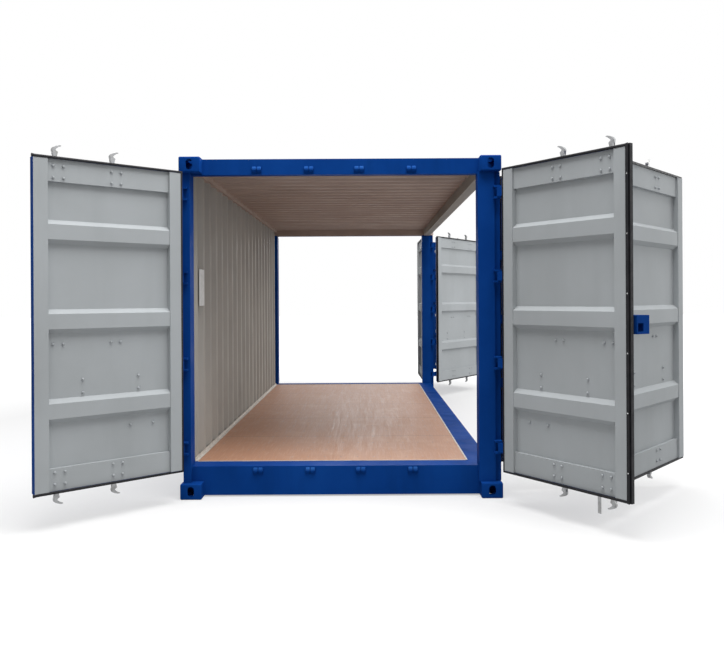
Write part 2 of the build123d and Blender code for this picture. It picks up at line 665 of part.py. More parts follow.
def make_side_doors():
    """Two folding pairs along the right side, standing open and folded back."""
    pairs = {
        "front_side": (1, FRONT_SIDE_OPEN, FRONT_SIDE_FOLD),
        "rear_side": (-1, REAR_SIDE_OPEN, REAR_SIDE_FOLD),
    }
    for name, (x_side, opened, fold) in pairs.items():
        first = side_leaf(x_side, opened)
        second = folded_leaf(first, fold)
        with BuildPart() as first_leaf:
            add_leaf(first)
            add_blades(first, hinge_levels(SIDE_HINGES))
        write_part(first_leaf.part, f"{name}_first_leaf")
        with BuildPart() as second_leaf:
            add_leaf(second)
        write_part(second_leaf.part, f"{name}_second_leaf")
        with BuildPart() as gaskets:
            add_gasket(first, GASKET_SIDE)
            add_gasket(second, GASKET_SIDE)
        write_part(gaskets.part, f"{name}_gaskets")
        with BuildPart() as gear:
            for leaf in (first, second):
                add_lock_bar(leaf, leaf.start + SIDE_BAR_EDGE)
                add_lock_bar(leaf, leaf.start + SIDE_BAR_EDGE + SIDE_BAR_STEP)
        write_part(gear.part, f"{name}_lock_gear")
        with BuildPart() as fold_hinges:
            add_fold_hinges(first, second)
        write_part(fold_hinges.part, f"{name}_fold_hinges")


def add_fold_hinges(first, second):
    """Barrels on the fold line, each with a tab on either leaf's outer face."""
    for level in hinge_levels(SIDE_HINGES):
        levels = (level - BARREL_TALL / 2, level + BARREL_TALL / 2)
        with BuildSketch(second.plan.offset(levels[0])) as outline:
            Circle(BARREL_RADIUS)
        extrude(outline.sketch, amount=BARREL_TALL)
        edge = first.end - FOLD_TAB
        slab(first.plan, (edge, first.end + FOLD_GAP / 2),
             first.spans(first.face, first.face + FOLD_TAB_THICK), levels)
        slab(first.plan, (first.end + FOLD_GAP / 2 - FOLD_TAB_THICK, first.end + FOLD_GAP / 2),
             first.spans(first.face, first.face + FOLD_STANDOFF), levels)
        slab(second.plan, (0, second.start + FOLD_TAB),
             second.spans(second.face, second.face + FOLD_TAB_THICK), levels)
        slab(second.plan, (0, FOLD_TAB_THICK), second.spans(second.face, 0), levels)


make_castings()
make_posts()
make_end_frames()
make_keepers()
make_rails()
make_skins()
make_floor()
make_end_doors()
make_lock_box()
make_side_doors()
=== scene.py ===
"""Looks of the open-side shipping container: paint, plywood, rubber, bolts and seals."""
import json
from math import cos, radians, sin

import bmesh
import bpy
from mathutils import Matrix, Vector


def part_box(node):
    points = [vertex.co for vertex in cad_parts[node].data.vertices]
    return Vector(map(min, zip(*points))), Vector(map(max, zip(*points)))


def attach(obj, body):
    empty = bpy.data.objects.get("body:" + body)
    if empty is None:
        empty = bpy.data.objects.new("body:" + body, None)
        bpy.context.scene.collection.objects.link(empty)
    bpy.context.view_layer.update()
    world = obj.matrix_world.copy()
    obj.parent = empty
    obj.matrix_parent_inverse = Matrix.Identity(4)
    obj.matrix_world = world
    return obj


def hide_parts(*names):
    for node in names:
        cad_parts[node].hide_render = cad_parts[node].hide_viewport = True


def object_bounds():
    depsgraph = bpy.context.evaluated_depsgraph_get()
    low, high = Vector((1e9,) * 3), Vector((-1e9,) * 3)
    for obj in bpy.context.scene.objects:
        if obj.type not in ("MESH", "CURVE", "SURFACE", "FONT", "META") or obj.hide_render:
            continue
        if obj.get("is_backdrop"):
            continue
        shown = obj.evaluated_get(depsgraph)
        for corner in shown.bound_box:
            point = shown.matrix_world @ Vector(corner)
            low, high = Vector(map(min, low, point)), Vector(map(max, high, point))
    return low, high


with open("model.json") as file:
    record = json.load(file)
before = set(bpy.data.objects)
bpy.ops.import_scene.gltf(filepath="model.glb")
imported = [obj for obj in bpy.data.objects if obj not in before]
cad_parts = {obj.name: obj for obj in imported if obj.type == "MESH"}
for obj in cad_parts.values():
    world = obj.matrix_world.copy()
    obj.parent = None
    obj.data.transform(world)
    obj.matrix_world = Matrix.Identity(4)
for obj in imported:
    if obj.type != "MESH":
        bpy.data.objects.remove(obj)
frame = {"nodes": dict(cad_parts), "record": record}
CAD_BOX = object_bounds()
RECORD = frame["record"]

# Camera, fitted to corners that show in the photograph: down the length, a little right of the middle
PHOTO_WIDTH = 724
FOCAL_PIXELS = 772
VANISHING_RIGHT = 3.8
VANISHING_UP = 25.8
SENSOR = 36.0
CAMERA_BACK = 5.8175
CAMERA_SIDE = 0.190
CAMERA_HEIGHT = 1.507
CAMERA_ROLL = 0.31
CLIP_END = 200.0

# Container and leaf sizes, in metres
END_X = 3.029
SIDE_Y = 1.219
HEIGHT = 2.591
LEAF_FACE = -0.079
LEAF_THICK = 0.050
LEAF_LOW = 0.252
LEAF_HIGH = 2.445
RAIL_DEPTH = 0.034
PANEL_DEPTH = 0.010
END_LEAF_WIDE = 1.063
LEFT_LEAF_START = 0.070
RIGHT_LEAF_START = 0.168
OPENING_MIDDLE = -0.049
BAR_PLACES = (0.187, 0.587)
WALL_FACE = -1.168
WALL_SHEET = 0.003
FLOOR_SHEETS = 5
SEAM_HALF = 0.004

# Directions of the object
UP = (0.0, 0.0, 1.0)
DOWN = (0.0, 0.0, -1.0)
LEFT = (0.0, -1.0, 0.0)
RIGHT = (0.0, 1.0, 0.0)
FRONTWARDS = (1.0, 0.0, 0.0)
REARWARDS = (-1.0, 0.0, 0.0)

# Folding side doors; each pair has its end, the angle it is opened by and the angle of its fold
SIDE_PIN = (2.899, 1.198)
SIDE_LEAF_FACE = -0.034
SIDE_LEAF_START = 0.054
SIDE_LEAF_WIDE = 1.4075
SIDE_BAR_PLACES = (0.500, 1.060)
FOLD_GAP = 0.012
FOLD_STANDOFF = 0.022
SIDE_PAIRS = {"front_side": (1, 82.0, 139.0), "rear_side": (-1, 145.0, 68.0)}

# Colours, linear
BLUE = (0.005, 0.053, 0.262)
BLUE_DARK = (0.003, 0.039, 0.21)
# Lighter blue, a painted highlight on the keepers' upper slopes
BLUE_HIGHLIGHT = (0.022, 0.10, 0.34)
DOOR_GREY = (0.40, 0.422, 0.435)
DOOR_GREY_DARK = (0.37, 0.39, 0.40)
WALL_GREY = (0.38, 0.365, 0.335)
WALL_GREY_DARK = (0.34, 0.325, 0.30)
# Roof lining greys: the wall's grey paint warmed brown by a painted tint of light bounced up from the plywood
# floor
ROOF_GREY_BOUNCE_TINTED = (0.46, 0.37, 0.32)
ROOF_GREY_DARK_BOUNCE_TINTED = (0.41, 0.325, 0.28)
PLY = (0.456, 0.246, 0.156)
PLY_DARK = (0.40, 0.205, 0.125)
PLY_LIGHT = (0.54, 0.34, 0.235)
PLY_SEAM = (0.22, 0.145, 0.105)
RUST = (0.10, 0.035, 0.015)
ZINC = (0.42, 0.425, 0.43)
ZINC_DULL = (0.27, 0.265, 0.25)
RUBBER = (0.006, 0.006, 0.008)
RUBBER_DUST = (0.018, 0.017, 0.020)
SEALANT = (0.58, 0.55, 0.50)
SEALANT_DIRTY = (0.42, 0.38, 0.34)
PLATE_WHITE = (0.60, 0.60, 0.59)
PLATE_WORN = (0.48, 0.48, 0.46)

# Strength of dirt streaks on each paint, with the linings' colours
BLUE_GRIME = 0.5
# Strength of dirt streaks on the keepers' painted highlight blue
HIGHLIGHT_GRIME = 0.2
DOOR_GRIME = 0.12
LINING_GRIME = 0.2
WALL_LINING = (WALL_GREY, WALL_GREY_DARK, LINING_GRIME)
# Lining of the roof, top rail, headers and castings, with the painted bounce tint
ROOF_LINING_BOUNCE_TINTED = (ROOF_GREY_BOUNCE_TINTED, ROOF_GREY_DARK_BOUNCE_TINTED, LINING_GRIME)

# Tone of dirt streaks and of the darker zinc crystals, as a share of the full colour
STREAK_TONE = 0.55
SPANGLE_TONE = 0.82

# Strength of mirror-like reflection, and how far the zinc is bare metal
PAINT_SHEEN = 0.008
RUBBER_SHEEN = 0.25
PLY_SHEEN = 0.12
ZINC_METAL = 0.75

# Spans of roughness, and the even roughness of sealant and bare plates
BLUE_ROUGH = (0.34, 0.55)
LINED_ROUGH = (0.38, 0.60)
LEAF_ROUGH = (0.38, 0.58)
ZINC_ROUGH = (0.34, 0.60)
RUBBER_ROUGH = (0.50, 0.75)
PLY_ROUGH = (0.40, 0.58)
PALE_ROUGH = 0.55

# How squarely a face looks in a direction before its colour changes
LINED_FACING = (0.30, 0.35)
# How far a keeper face must look up to take the painted highlight
HIGHLIGHT_FACING = (0.15, 0.40)
OUTER_FACING = 0.30

# Depth of paint that counts as a leaf's outer side, and as its edge
OUTER_SKIN = 0.007
EDGE_SKIN = 0.0015

# Numbers of the Mix node's colour sockets
MIX_COLOURS = (6, 7)
MIX_RESULT = 2


# Shader building blocks

def preset(node, values):
    """Sets a node's inputs by their names."""
    for name, value in values.items():
        node.inputs[name].default_value = value


class Finish:
    """A material under construction, with its shader and object coordinates."""

    def __init__(self, name):
        self.material = bpy.data.materials.new(name)
        self.material.use_nodes = True
        self.tree = self.material.node_tree
        self.shader = self.tree.nodes["Principled BSDF"]
        self.coords = self.tree.nodes.new("ShaderNodeTexCoord")
        self.place = self.coords.outputs["Object"]

    def link(self, source, target):
        self.tree.links.new(source, target)

    def stretched(self, scale):
        """Object coordinates drawn out by a different factor on each axis."""
        node = self.tree.nodes.new("ShaderNodeMapping")
        node.inputs["Scale"].default_value = scale
        self.link(self.place, node.inputs["Vector"])
        return node.outputs["Vector"]

    def noise(self, scale, detail=3.0, vector=None, rough=0.55):
        node = self.tree.nodes.new("ShaderNodeTexNoise")
        preset(node, {"Scale": scale, "Detail": detail, "Roughness": rough})
        self.link(vector or self.place, node.inputs["Vector"])
        return node.outputs["Fac"]

    def cells(self, scale):
        """Flat cells, each with a colour of its own."""
        node = self.tree.nodes.new("ShaderNodeTexVoronoi")
        node.inputs["Scale"].default_value = scale
        self.link(self.place, node.inputs["Vector"])
        return node.outputs["Color"]

    def between(self, value, low, high, to_low=0.0, to_high=1.0):
        """Value mapped from one span to another, held at the ends."""
        node = self.tree.nodes.new("ShaderNodeMapRange")
        preset(node, {"From Min": low, "From Max": high, "To Min": to_low, "To Max": to_high})
        self.link(value, node.inputs["Value"])
        return node.outputs["Result"]

    def compute(self, operation, first, second):
        """Arithmetic on two values, each a socket or a number."""
        node = self.tree.nodes.new("ShaderNodeMath")
        node.operation = operation
        for socket, value in zip(node.inputs, (first, second)):
            if isinstance(value, (int, float)):
                socket.default_value = value
            else:
                self.link(value, socket)
        return node.outputs["Value"]

    def blend(self, factor, first, second):
        """Colour between two, each a socket or a colour."""
        node = self.tree.nodes.new("ShaderNodeMix")
        node.data_type = "RGBA"
        self.link(factor, node.inputs["Factor"])
        for index, value in zip(MIX_COLOURS, (first, second)):
            if isinstance(value, tuple):
                node.inputs[index].default_value = (*value, 1.0)
            else:
                self.link(value, node.inputs[index])
        return node.outputs[MIX_RESULT]

    def share(self, source, direction):
        """How much of a vector lies in a direction of the object."""
        node = self.tree.nodes.new("ShaderNodeVectorMath")
        node.operation = "DOT_PRODUCT"
        self.link(source, node.inputs[0])
        node.inputs[1].default_value = direction
        return node.outputs["Value"]

    def facing(self, direction):
        """How far the surface faces a direction of the object, from -1 to 1."""
        return self.share(self.coords.outputs["Normal"], direction)

    def reach(self, direction):
        """How far the point lies along a direction of the object."""
        return self.share(self.place, direction)

    def either(self, *masks):
        """A mask that holds where any of the given ones does."""
        joined = masks[0]
        for mask in masks[1:]:
            joined = self.compute("MAXIMUM", joined, mask)
        return joined

    def colour(self, socket):
        self.link(socket, self.shader.inputs["Base Color"])

    def roughness(self, socket):
        self.link(socket, self.shader.inputs["Roughness"])

    def relief(self, height, strength, depth):
        node = self.tree.nodes.new("ShaderNodeBump")
        preset(node, {"Strength": strength, "Distance": depth})
        self.link(height, node.inputs["Height"])
        self.link(node.outputs["Normal"], self.shader.inputs["Normal"])


def worn_paint(finish, colour, dark, grime):
    """Paint colour with patchy fading, rain streaks and a few rusty chips."""
    patches = finish.between(finish.noise(1.7, 4.0), 0.35, 0.7)
    runs = finish.noise(5.0, 3.0, finish.stretched((1.0, 1.0, 0.12)))
    streaks = finish.between(runs, 0.5, 0.78, 0.0, grime)
    faded = finish.blend(patches, colour, dark)
    streaked = finish.blend(streaks, faded, tuple(part * STREAK_TONE for part in colour))
    chips = finish.between(finish.noise(46.0, 5.0, rough=0.7), 0.77, 0.79)
    return finish.blend(chips, streaked, RUST)


def paint_surface(finish, rough):
    """Roughness in soft patches and the fine ripple of sprayed paint."""
    finish.roughness(finish.between(finish.noise(3.2, 4.0), 0.3, 0.7, *rough))
    waves = finish.compute("MULTIPLY", finish.noise(7.0, 2.0), 2.0)
    ripple = finish.compute("ADD", finish.noise(160.0, 2.0), waves)
    finish.relief(ripple, 0.12, 0.002)


def blue_paint():
    """Blue of the frame and of the small pieces on it."""
    finish = Finish("blue_frame_paint")
    preset(finish.shader, {"Specular IOR Level": PAINT_SHEEN})
    finish.colour(worn_paint(finish, BLUE, BLUE_DARK, BLUE_GRIME))
    paint_surface(finish, BLUE_ROUGH)
    return finish.material


def lined_paint(name, inward, inside, inside_dark, inside_grime):
    """Blue paint, with the inside colour on faces that look in any of the given directions."""
    finish = Finish(name)
    preset(finish.shader, {"Specular IOR Level": PAINT_SHEEN})
    outer = worn_paint(finish, BLUE, BLUE_DARK, BLUE_GRIME)
    inner = worn_paint(finish, inside, inside_dark, inside_grime)
    lining = finish.either(*[finish.between(finish.facing(way), *LINED_FACING) for way in inward])
    finish.colour(finish.blend(lining, outer, inner))
    paint_surface(finish, LINED_ROUGH)
    return finish.material


def leaf_paint(name, leaf, blue_edges):
    """Blue on a leaf's outer side and, where asked, round its edges; grey inside."""
    finish = Finish(name)
    preset(finish.shader, {"Specular IOR Level": PAINT_SHEEN})
    outer = worn_paint(finish, BLUE, BLUE_DARK, BLUE_GRIME)
    inner = worn_paint(finish, DOOR_GREY, DOOR_GREY_DARK, DOOR_GRIME)
    skin_level = leaf.pin.dot(leaf.out) + leaf.face - OUTER_SKIN
    masks = [
        finish.compute("GREATER_THAN", finish.facing(leaf.out), OUTER_FACING),
        finish.compute("GREATER_THAN", finish.reach(leaf.out), skin_level),
    ]
    if blue_edges:
        run = finish.reach(leaf.along)
        pin_run = leaf.pin.dot(leaf.along)
        height = finish.reach(UP)
        masks += [
            finish.compute("LESS_THAN", run, pin_run + leaf.start + EDGE_SKIN),
            finish.compute("GREATER_THAN", run, pin_run + leaf.end - EDGE_SKIN),
            finish.compute("LESS_THAN", height, LEAF_LOW + EDGE_SKIN),
            finish.compute("GREATER_THAN", height, LEAF_HIGH - EDGE_SKIN),
        ]
    finish.colour(finish.blend(finish.either(*masks), inner, outer))
    paint_surface(finish, LEAF_ROUGH)
    return finish.material


def keeper_paint():
    """Blue paint of the keepers: a lighter blue on their upper slopes as a painted highlight, the darker blue
    on the other faces as painted shade.
    """
    finish = Finish("keeper_paint")
    preset(finish.shader, {"Specular IOR Level": PAINT_SHEEN})
    # Upward faces take the lighter blue as a painted highlight, the other faces the darker blue as painted
    # shade
    lit_tops = finish.between(finish.facing(UP), *HIGHLIGHT_FACING)
    # outer: the darker blue, painted shade on faces that do not look up
    outer = worn_paint(finish, BLUE_DARK, BLUE_DARK, BLUE_GRIME)
    # worn: the lighter blue, a painted highlight on the upper slopes
    worn = worn_paint(finish, BLUE_HIGHLIGHT, BLUE, HIGHLIGHT_GRIME)
    finish.colour(finish.blend(lit_tops, outer, worn))
    paint_surface(finish, BLUE_ROUGH)
    return finish.material


def zinc_coat():
    """Galvanised steel with its crystal spangle and dull patches."""
    finish = Finish("galvanised_steel")
    preset(finish.shader, {"Metallic": ZINC_METAL})
    spangle = finish.between(finish.cells(95.0), 0.0, 1.0)
    light = finish.blend(spangle, tuple(part * SPANGLE_TONE for part in ZINC), ZINC)
    dull = finish.between(finish.noise(14.0, 4.0), 0.5, 0.75)
    finish.colour(finish.blend(dull, light, ZINC_DULL))
    finish.roughness(finish.between(finish.noise(30.0, 3.0), 0.3, 0.7, *ZINC_ROUGH))
    finish.relief(finish.noise(120.0, 3.0), 0.15, 0.001)
    return finish.material


def black_rubber():
    """Matt rubber with a little dust."""
    finish = Finish("black_rubber")
    preset(finish.shader, {"Specular IOR Level": RUBBER_SHEEN})
    dust = finish.between(finish.noise(9.0, 5.0), 0.45, 0.8)
    finish.colour(finish.blend(dust, RUBBER, RUBBER_DUST))
    finish.roughness(finish.between(finish.noise(24.0, 3.0), 0.3, 0.7, *RUBBER_ROUGH))
    finish.relief(finish.noise(210.0, 2.0), 0.2, 0.0008)
    return finish.material


def plywood():
    """Plywood boards along the length, with grain, seams and scuffs."""
    finish = Finish("plywood")
    preset(finish.shader, {"Specular IOR Level": PLY_SHEEN})
    grain = finish.noise(9.0, 6.0, finish.stretched((0.25, 5.0, 5.0)), 0.65)
    fine = finish.noise(42.0, 4.0, finish.stretched((0.12, 3.0, 3.0)), 0.6)
    wood = finish.blend(finish.between(grain, 0.32, 0.7), PLY_DARK, PLY)
    wood = finish.blend(finish.between(fine, 0.5, 0.72, 0.0, 0.55), wood, PLY_LIGHT)
    scuffs = finish.between(finish.noise(3.4, 6.0, rough=0.7), 0.52, 0.8, 0.0, 0.6)
    wood = finish.blend(scuffs, wood, PLY_LIGHT)
    floor_low, floor_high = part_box("plywood_floor")
    sheet_pitch = (floor_high[0] - floor_low[0]) / FLOOR_SHEETS
    place = finish.compute("SUBTRACT", finish.reach(FRONTWARDS), floor_low[0])
    across = finish.compute("PINGPONG", place, sheet_pitch)
    seam = finish.compute("LESS_THAN", across, SEAM_HALF)
    far_seam = finish.compute("GREATER_THAN", across, sheet_pitch - SEAM_HALF)
    seams = finish.either(seam, far_seam)
    finish.colour(finish.blend(seams, wood, PLY_SEAM))
    finish.roughness(finish.between(grain, 0.3, 0.7, *PLY_ROUGH))
    grooves = finish.compute("MULTIPLY", seams, 3.0)
    height = finish.compute("SUBTRACT", finish.compute("ADD", grain, fine), grooves)
    finish.relief(height, 0.25, 0.0015)
    return finish.material


def pale_coat(name, clean, worn):
    """A plain pale coat with worn patches, for sealant and bare plates."""
    finish = Finish(name)
    preset(finish.shader, {"Roughness": PALE_ROUGH})
    patches = finish.between(finish.noise(18.0, 4.0), 0.4, 0.75)
    finish.colour(finish.blend(patches, clean, worn))
    finish.relief(finish.noise(150.0, 2.0), 0.08, 0.0005)
    return finish.material


# Door leaves as plan frames

class LeafFrame:
    """Where a leaf stands: u along it from its pin, depth inwards from its outer face."""

    def __init__(self, pin, angle, hand, start, wide, face):
        turn = radians(angle)
        self.pin = Vector((pin[0], pin[1], 0.0))
        self.along = Vector((cos(turn), sin(turn), 0.0))
        self.out = Vector((-sin(turn), cos(turn), 0.0)) * hand
        self.angle = angle
        self.start = start
        self.end = start + wide
        self.face = face

    def point(self, u, depth, height):
        place = self.pin + self.along * u + self.out * (self.face - depth)
        return Vector((place.x, place.y, height))


def end_leaves(shut=False):
    """The four end leaves, at rest or shut, read from the record's joints."""
    leaves = {}
    for joint in RECORD["behaviour"]["joints"]:
        pin = joint["pos_m"]
        hand = 1 if joint["axis"][2] > 0 else -1
        closed = -90.0 if pin[1] > 0 else 90.0
        start = RIGHT_LEAF_START if pin[1] > 0 else LEFT_LEAF_START
        angle = closed if shut else closed - hand * joint["range_deg"][0]
        leaf = LeafFrame(pin, angle, hand, start, END_LEAF_WIDE, LEAF_FACE)
        leaf.bars = [abs(pin[1] - OPENING_MIDDLE) - place for place in BAR_PLACES]
        leaves[joint["child"]] = leaf
    return leaves


def side_leaves():
    """First and second leaf of each folding pair, keyed by their node names."""
    leaves = {}
    for name, (x_side, opened, fold) in SIDE_PAIRS.items():
        hand = -x_side
        closed = 180.0 if x_side > 0 else 0.0
        first = LeafFrame((x_side * SIDE_PIN[0], SIDE_PIN[1]), closed + hand * opened, hand,
                          SIDE_LEAF_START, SIDE_LEAF_WIDE, SIDE_LEAF_FACE)
        fold_pin = first.point(first.end + FOLD_GAP / 2, -FOLD_STANDOFF, 0.0)
        second = LeafFrame(fold_pin, first.angle + hand * fold, hand,
                           FOLD_GAP / 2, SIDE_LEAF_WIDE, -FOLD_STANDOFF)
        for leaf in (first, second):
            leaf.bars = [leaf.start + place for place in SIDE_BAR_PLACES]
        leaves[f"{name}_first_leaf"] = first
        leaves[f"{name}_second_leaf"] = second
    return leaves


# Geometry node trees

def new_tree(name, sizes):
    """Empty geometry tree with a geometry input, named sizes and a material input."""
    tree = bpy.data.node_groups.new(name, "GeometryNodeTree")
    tree.interface.new_socket("Geometry", in_out="INPUT", socket_type="NodeSocketGeometry")
    for size in sizes:
        tree.interface.new_socket(size, in_out="INPUT", socket_type="NodeSocketFloat")
    tree.interface.new_socket("Finish", in_out="INPUT", socket_type="NodeSocketMaterial")
    tree.interface.new_socket("Geometry", in_out="OUTPUT", socket_type="NodeSocketGeometry")
    source = tree.nodes.new("NodeGroupInput")
    target = tree.nodes.new("NodeGroupOutput")
    return tree, source, target


def close_tree(tree, source, target, instances):
    """Ends a tree: instances made real, with the finish set."""
    real = tree.nodes.new("GeometryNodeRealizeInstances")
    finish = tree.nodes.new("GeometryNodeSetMaterial")
    tree.links.new(instances, real.inputs["Geometry"])
    tree.links.new(real.outputs["Geometry"], finish.inputs["Geometry"])
    tree.links.new(source.outputs["Finish"], finish.inputs["Material"])
    tree.links.new(finish.outputs["Geometry"], target.inputs["Geometry"])


def bolt_head_tree():
    """A domed head on every point, standing along the point's facing attribute."""
    tree, source, target = new_tree("bolt_heads", ("Head Radius", "Head Height"))
    head = tree.nodes.new("GeometryNodeMeshCone")
    head.inputs["Vertices"].default_value = HEAD_SIDES
    shrink = tree.nodes.new("ShaderNodeMath")
    shrink.operation = "MULTIPLY"
    shrink.inputs[1].default_value = HEAD_TAPER
    tree.links.new(source.outputs["Head Radius"], shrink.inputs[0])
    tree.links.new(shrink.outputs["Value"], head.inputs["Radius Top"])
    tree.links.new(source.outputs["Head Radius"], head.inputs["Radius Bottom"])
    tree.links.new(source.outputs["Head Height"], head.inputs["Depth"])
    facing = tree.nodes.new("GeometryNodeInputNamedAttribute")
    facing.data_type = "FLOAT_VECTOR"
    facing.inputs["Name"].default_value = "facing"
    turn = tree.nodes.new("FunctionNodeAlignRotationToVector")
    turn.axis = "Z"
    tree.links.new(facing.outputs["Attribute"], turn.inputs["Vector"])
    spread = tree.nodes.new("GeometryNodeInstanceOnPoints")
    tree.links.new(source.outputs["Geometry"], spread.inputs["Points"])
    tree.links.new(head.outputs["Mesh"], spread.inputs["Instance"])
    tree.links.new(turn.outputs["Rotation"], spread.inputs["Rotation"])
    close_tree(tree, source, target, spread.outputs["Instances"])
    return tree


def seal_lip_tree():
    """A rubber lip swept along a path of edges."""
    tree, source, target = new_tree("seal_lip", ("Lip Width", "Lip Depth"))
    path = tree.nodes.new("GeometryNodeMeshToCurve")
    profile = tree.nodes.new("GeometryNodeCurvePrimitiveQuadrilateral")
    sweep = tree.nodes.new("GeometryNodeCurveToMesh")
    sweep.inputs["Fill Caps"].default_value = True
    tree.links.new(source.outputs["Geometry"], path.inputs["Mesh"])
    tree.links.new(source.outputs["Lip Width"], profile.inputs["Width"])
    tree.links.new(source.outputs["Lip Depth"], profile.inputs["Height"])
    tree.links.new(path.outputs["Curve"], sweep.inputs["Curve"])
    tree.links.new(profile.outputs["Curve"], sweep.inputs["Profile Curve"])
    close_tree(tree, source, target, sweep.outputs["Mesh"])
    return tree


def grown(name, tree, mesh, sizes, finish):
    """Runs a tree on a guide mesh and keeps the result as a plain mesh object."""
    guide = bpy.data.objects.new(name + "_guide", mesh)
    bpy.context.scene.collection.objects.link(guide)
    modifier = guide.modifiers.new("grow", "NODES")
    modifier.node_group = tree
    for item in tree.interface.items_tree:
        if item.in_out == "INPUT" and item.name in sizes:
            modifier[item.identifier] = sizes[item.name]
        elif item.in_out == "INPUT" and item.name == "Finish":
            modifier[item.identifier] = finish
    evaluated = guide.evaluated_get(bpy.context.evaluated_depsgraph_get())
    plain = bpy.data.meshes.new_from_object(evaluated)
    plain.name = name
    piece = bpy.data.objects.new(name, plain)
    bpy.context.scene.collection.objects.link(piece)
    bpy.data.objects.remove(guide)
    bpy.data.meshes.remove(mesh)
    return piece


def guide_points(name, places, facing):
    """Loose points that each carry the direction they face."""
    mesh = bpy.data.meshes.new(name)
    mesh.from_pydata([tuple(place) for place in places], [], [])
    attribute = mesh.attributes.new("facing", "FLOAT_VECTOR", "POINT")
    for item in attribute.data:
        item.vector = facing
    return mesh


def guide_path(name, places):
    """An open path of edges through the given places."""
    mesh = bpy.data.meshes.new(name)
    edges = [(index, index + 1) for index in range(len(places) - 1)]
    mesh.from_pydata([tuple(place) for place in places], edges, [])
    return mesh


def made(name, form, finish):
    """Turns a bmesh into a plain mesh object with a finish."""
    mesh = bpy.data.meshes.new(name)
    form.to_mesh(mesh)
    form.free()
    mesh.materials.append(finish)
    piece = bpy.data.objects.new(name, mesh)
    bpy.context.scene.collection.objects.link(piece)
    return piece


def rectangle(first, second):
    """Corners of a rectangle, in turn, from its spans in two directions."""
    return [(first[0], second[0]), (first[1], second[0]), (first[1], second[1]), (first[0], second[1])]


def plate(name, corners, thickness, growth, finish):
    """A thin plate with softened edges on four corners, thickened along a direction."""
    form = bmesh.new()
    lower = [form.verts.new(corner) for corner in corners]
    upper = [form.verts.new(Vector(corner) + Vector(growth) * thickness) for corner in corners]
    form.faces.new(lower)
    form.faces.new(upper)
    for index in range(4):
        after = (index + 1) % 4
        form.faces.new((lower[index], lower[after], upper[after], upper[index]))
    bmesh.ops.recalc_face_normals(form, faces=form.faces)
    bmesh.ops.bevel(form, geom=list(form.edges), offset=thickness * PLATE_SOFT,
                    segments=EDGE_STEPS, affect="EDGES")
    return made(name, form, finish)


def draw_out(form, faces, push):
    """Draws flat faces out into a solid along a vector."""
    raised = bmesh.ops.extrude_face_region(form, geom=faces)["geom"]
    verts = [item for item in raised if isinstance(item, bmesh.types.BMVert)]
    bmesh.ops.translate(form, verts=verts, vec=push)
    bmesh.ops.recalc_face_normals(form, faces=form.faces)


def mount(piece, body):
    """Puts a finished piece on its body."""
    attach(piece, body)


# Pieces

# Softened edges as a share of a plate's thickness, steps of a rounding, sharp edges, touching points
PLATE_SOFT = 0.25
EDGE_STEPS = 2
SHARP_ANGLE = 30.0
TOUCH = 1e-5

# Bolts through the leaves, with their distances from a lock bar
HEAD_SIDES = 10
HEAD_TAPER = 0.55
BOLT_RADIUS = 0.010
BOLT_HEIGHT = 0.008
BOLT_HALF_WIDE = 0.034
BOLT_HALF_TALL = 0.039
RAIL_BOLT_LEVELS = (0.336, 2.360)
GUIDE_BOLT_LEVEL = 1.22
REST_BOLT_BACK = 0.166
REST_BOLT_LEVELS = (0.885, 0.975)
CATCH_BOLT_BACK = (0.105, 0.275)
CATCH_BOLT_LEVEL = 0.63

# Seals, edge strips and their rivets
SEAL_WIDE = 0.018
SEAL_DEEP = 0.008
SEAL_OVER = 0.006
SEAL_TIP = 0.010
STRIP_INNER = 0.008
STRIP_OUTER = 0.014
STRIP_RISE = 0.012
STRIP_THICK = 0.004
RIVET_RADIUS = 0.005
RIVET_HEIGHT = 0.003
RIVETS = 6

# Floor screws, and the joint between the two runs of boards
JOINT_HALF = 0.0025
JOINT_DEEP = 0.004
SCREW_COLUMNS = 18
SCREW_ROWS = 16
SCREW_RADIUS = 0.006
SCREW_HEIGHT = 0.0012
SCREW_LIFT = 0.0004

# Plate, sealant and skirting on the left wall, and tolerances for reading its foot
WALL_PLATE_RUN = (2.37, 2.56)
WALL_PLATE_LEVELS = (1.46, 1.76)
FOOT_SLICE = 0.001
SAME_FACE = 0.0005
TRIM_WIDE = 0.012
TRIM_THICK = 0.003
SKIRTING_TALL = 0.028

# Flanges of the right posts, measured from the end and the side
POST_RECESS = 0.047
FLANGE_BACK = 0.079
FLANGE_THICK = 0.010
FLANGE_INSET = 0.0005

# Corner castings, with how deep their apertures are cut
CASTING_ROUND = 0.010
CASTING_STEPS = 4
CASTING_PROFILE = 0.5
CASTING_WALL = 0.014
CASTING_FACE = 0.028
CASTING_BACK = 0.010
APERTURE_INSETS = (0.1025, 0.0895)
APERTURE_LONG = 0.124
APERTURE_WIDE = 0.0635
APERTURE_CUT = 2.5 * CASTING_FACE
SIDE_APERTURE_WIDE = 0.051
SIDE_APERTURE_TALL = 0.0795
SIDE_APERTURE_CUT = 3 * CASTING_WALL
OVAL_STEPS = 12

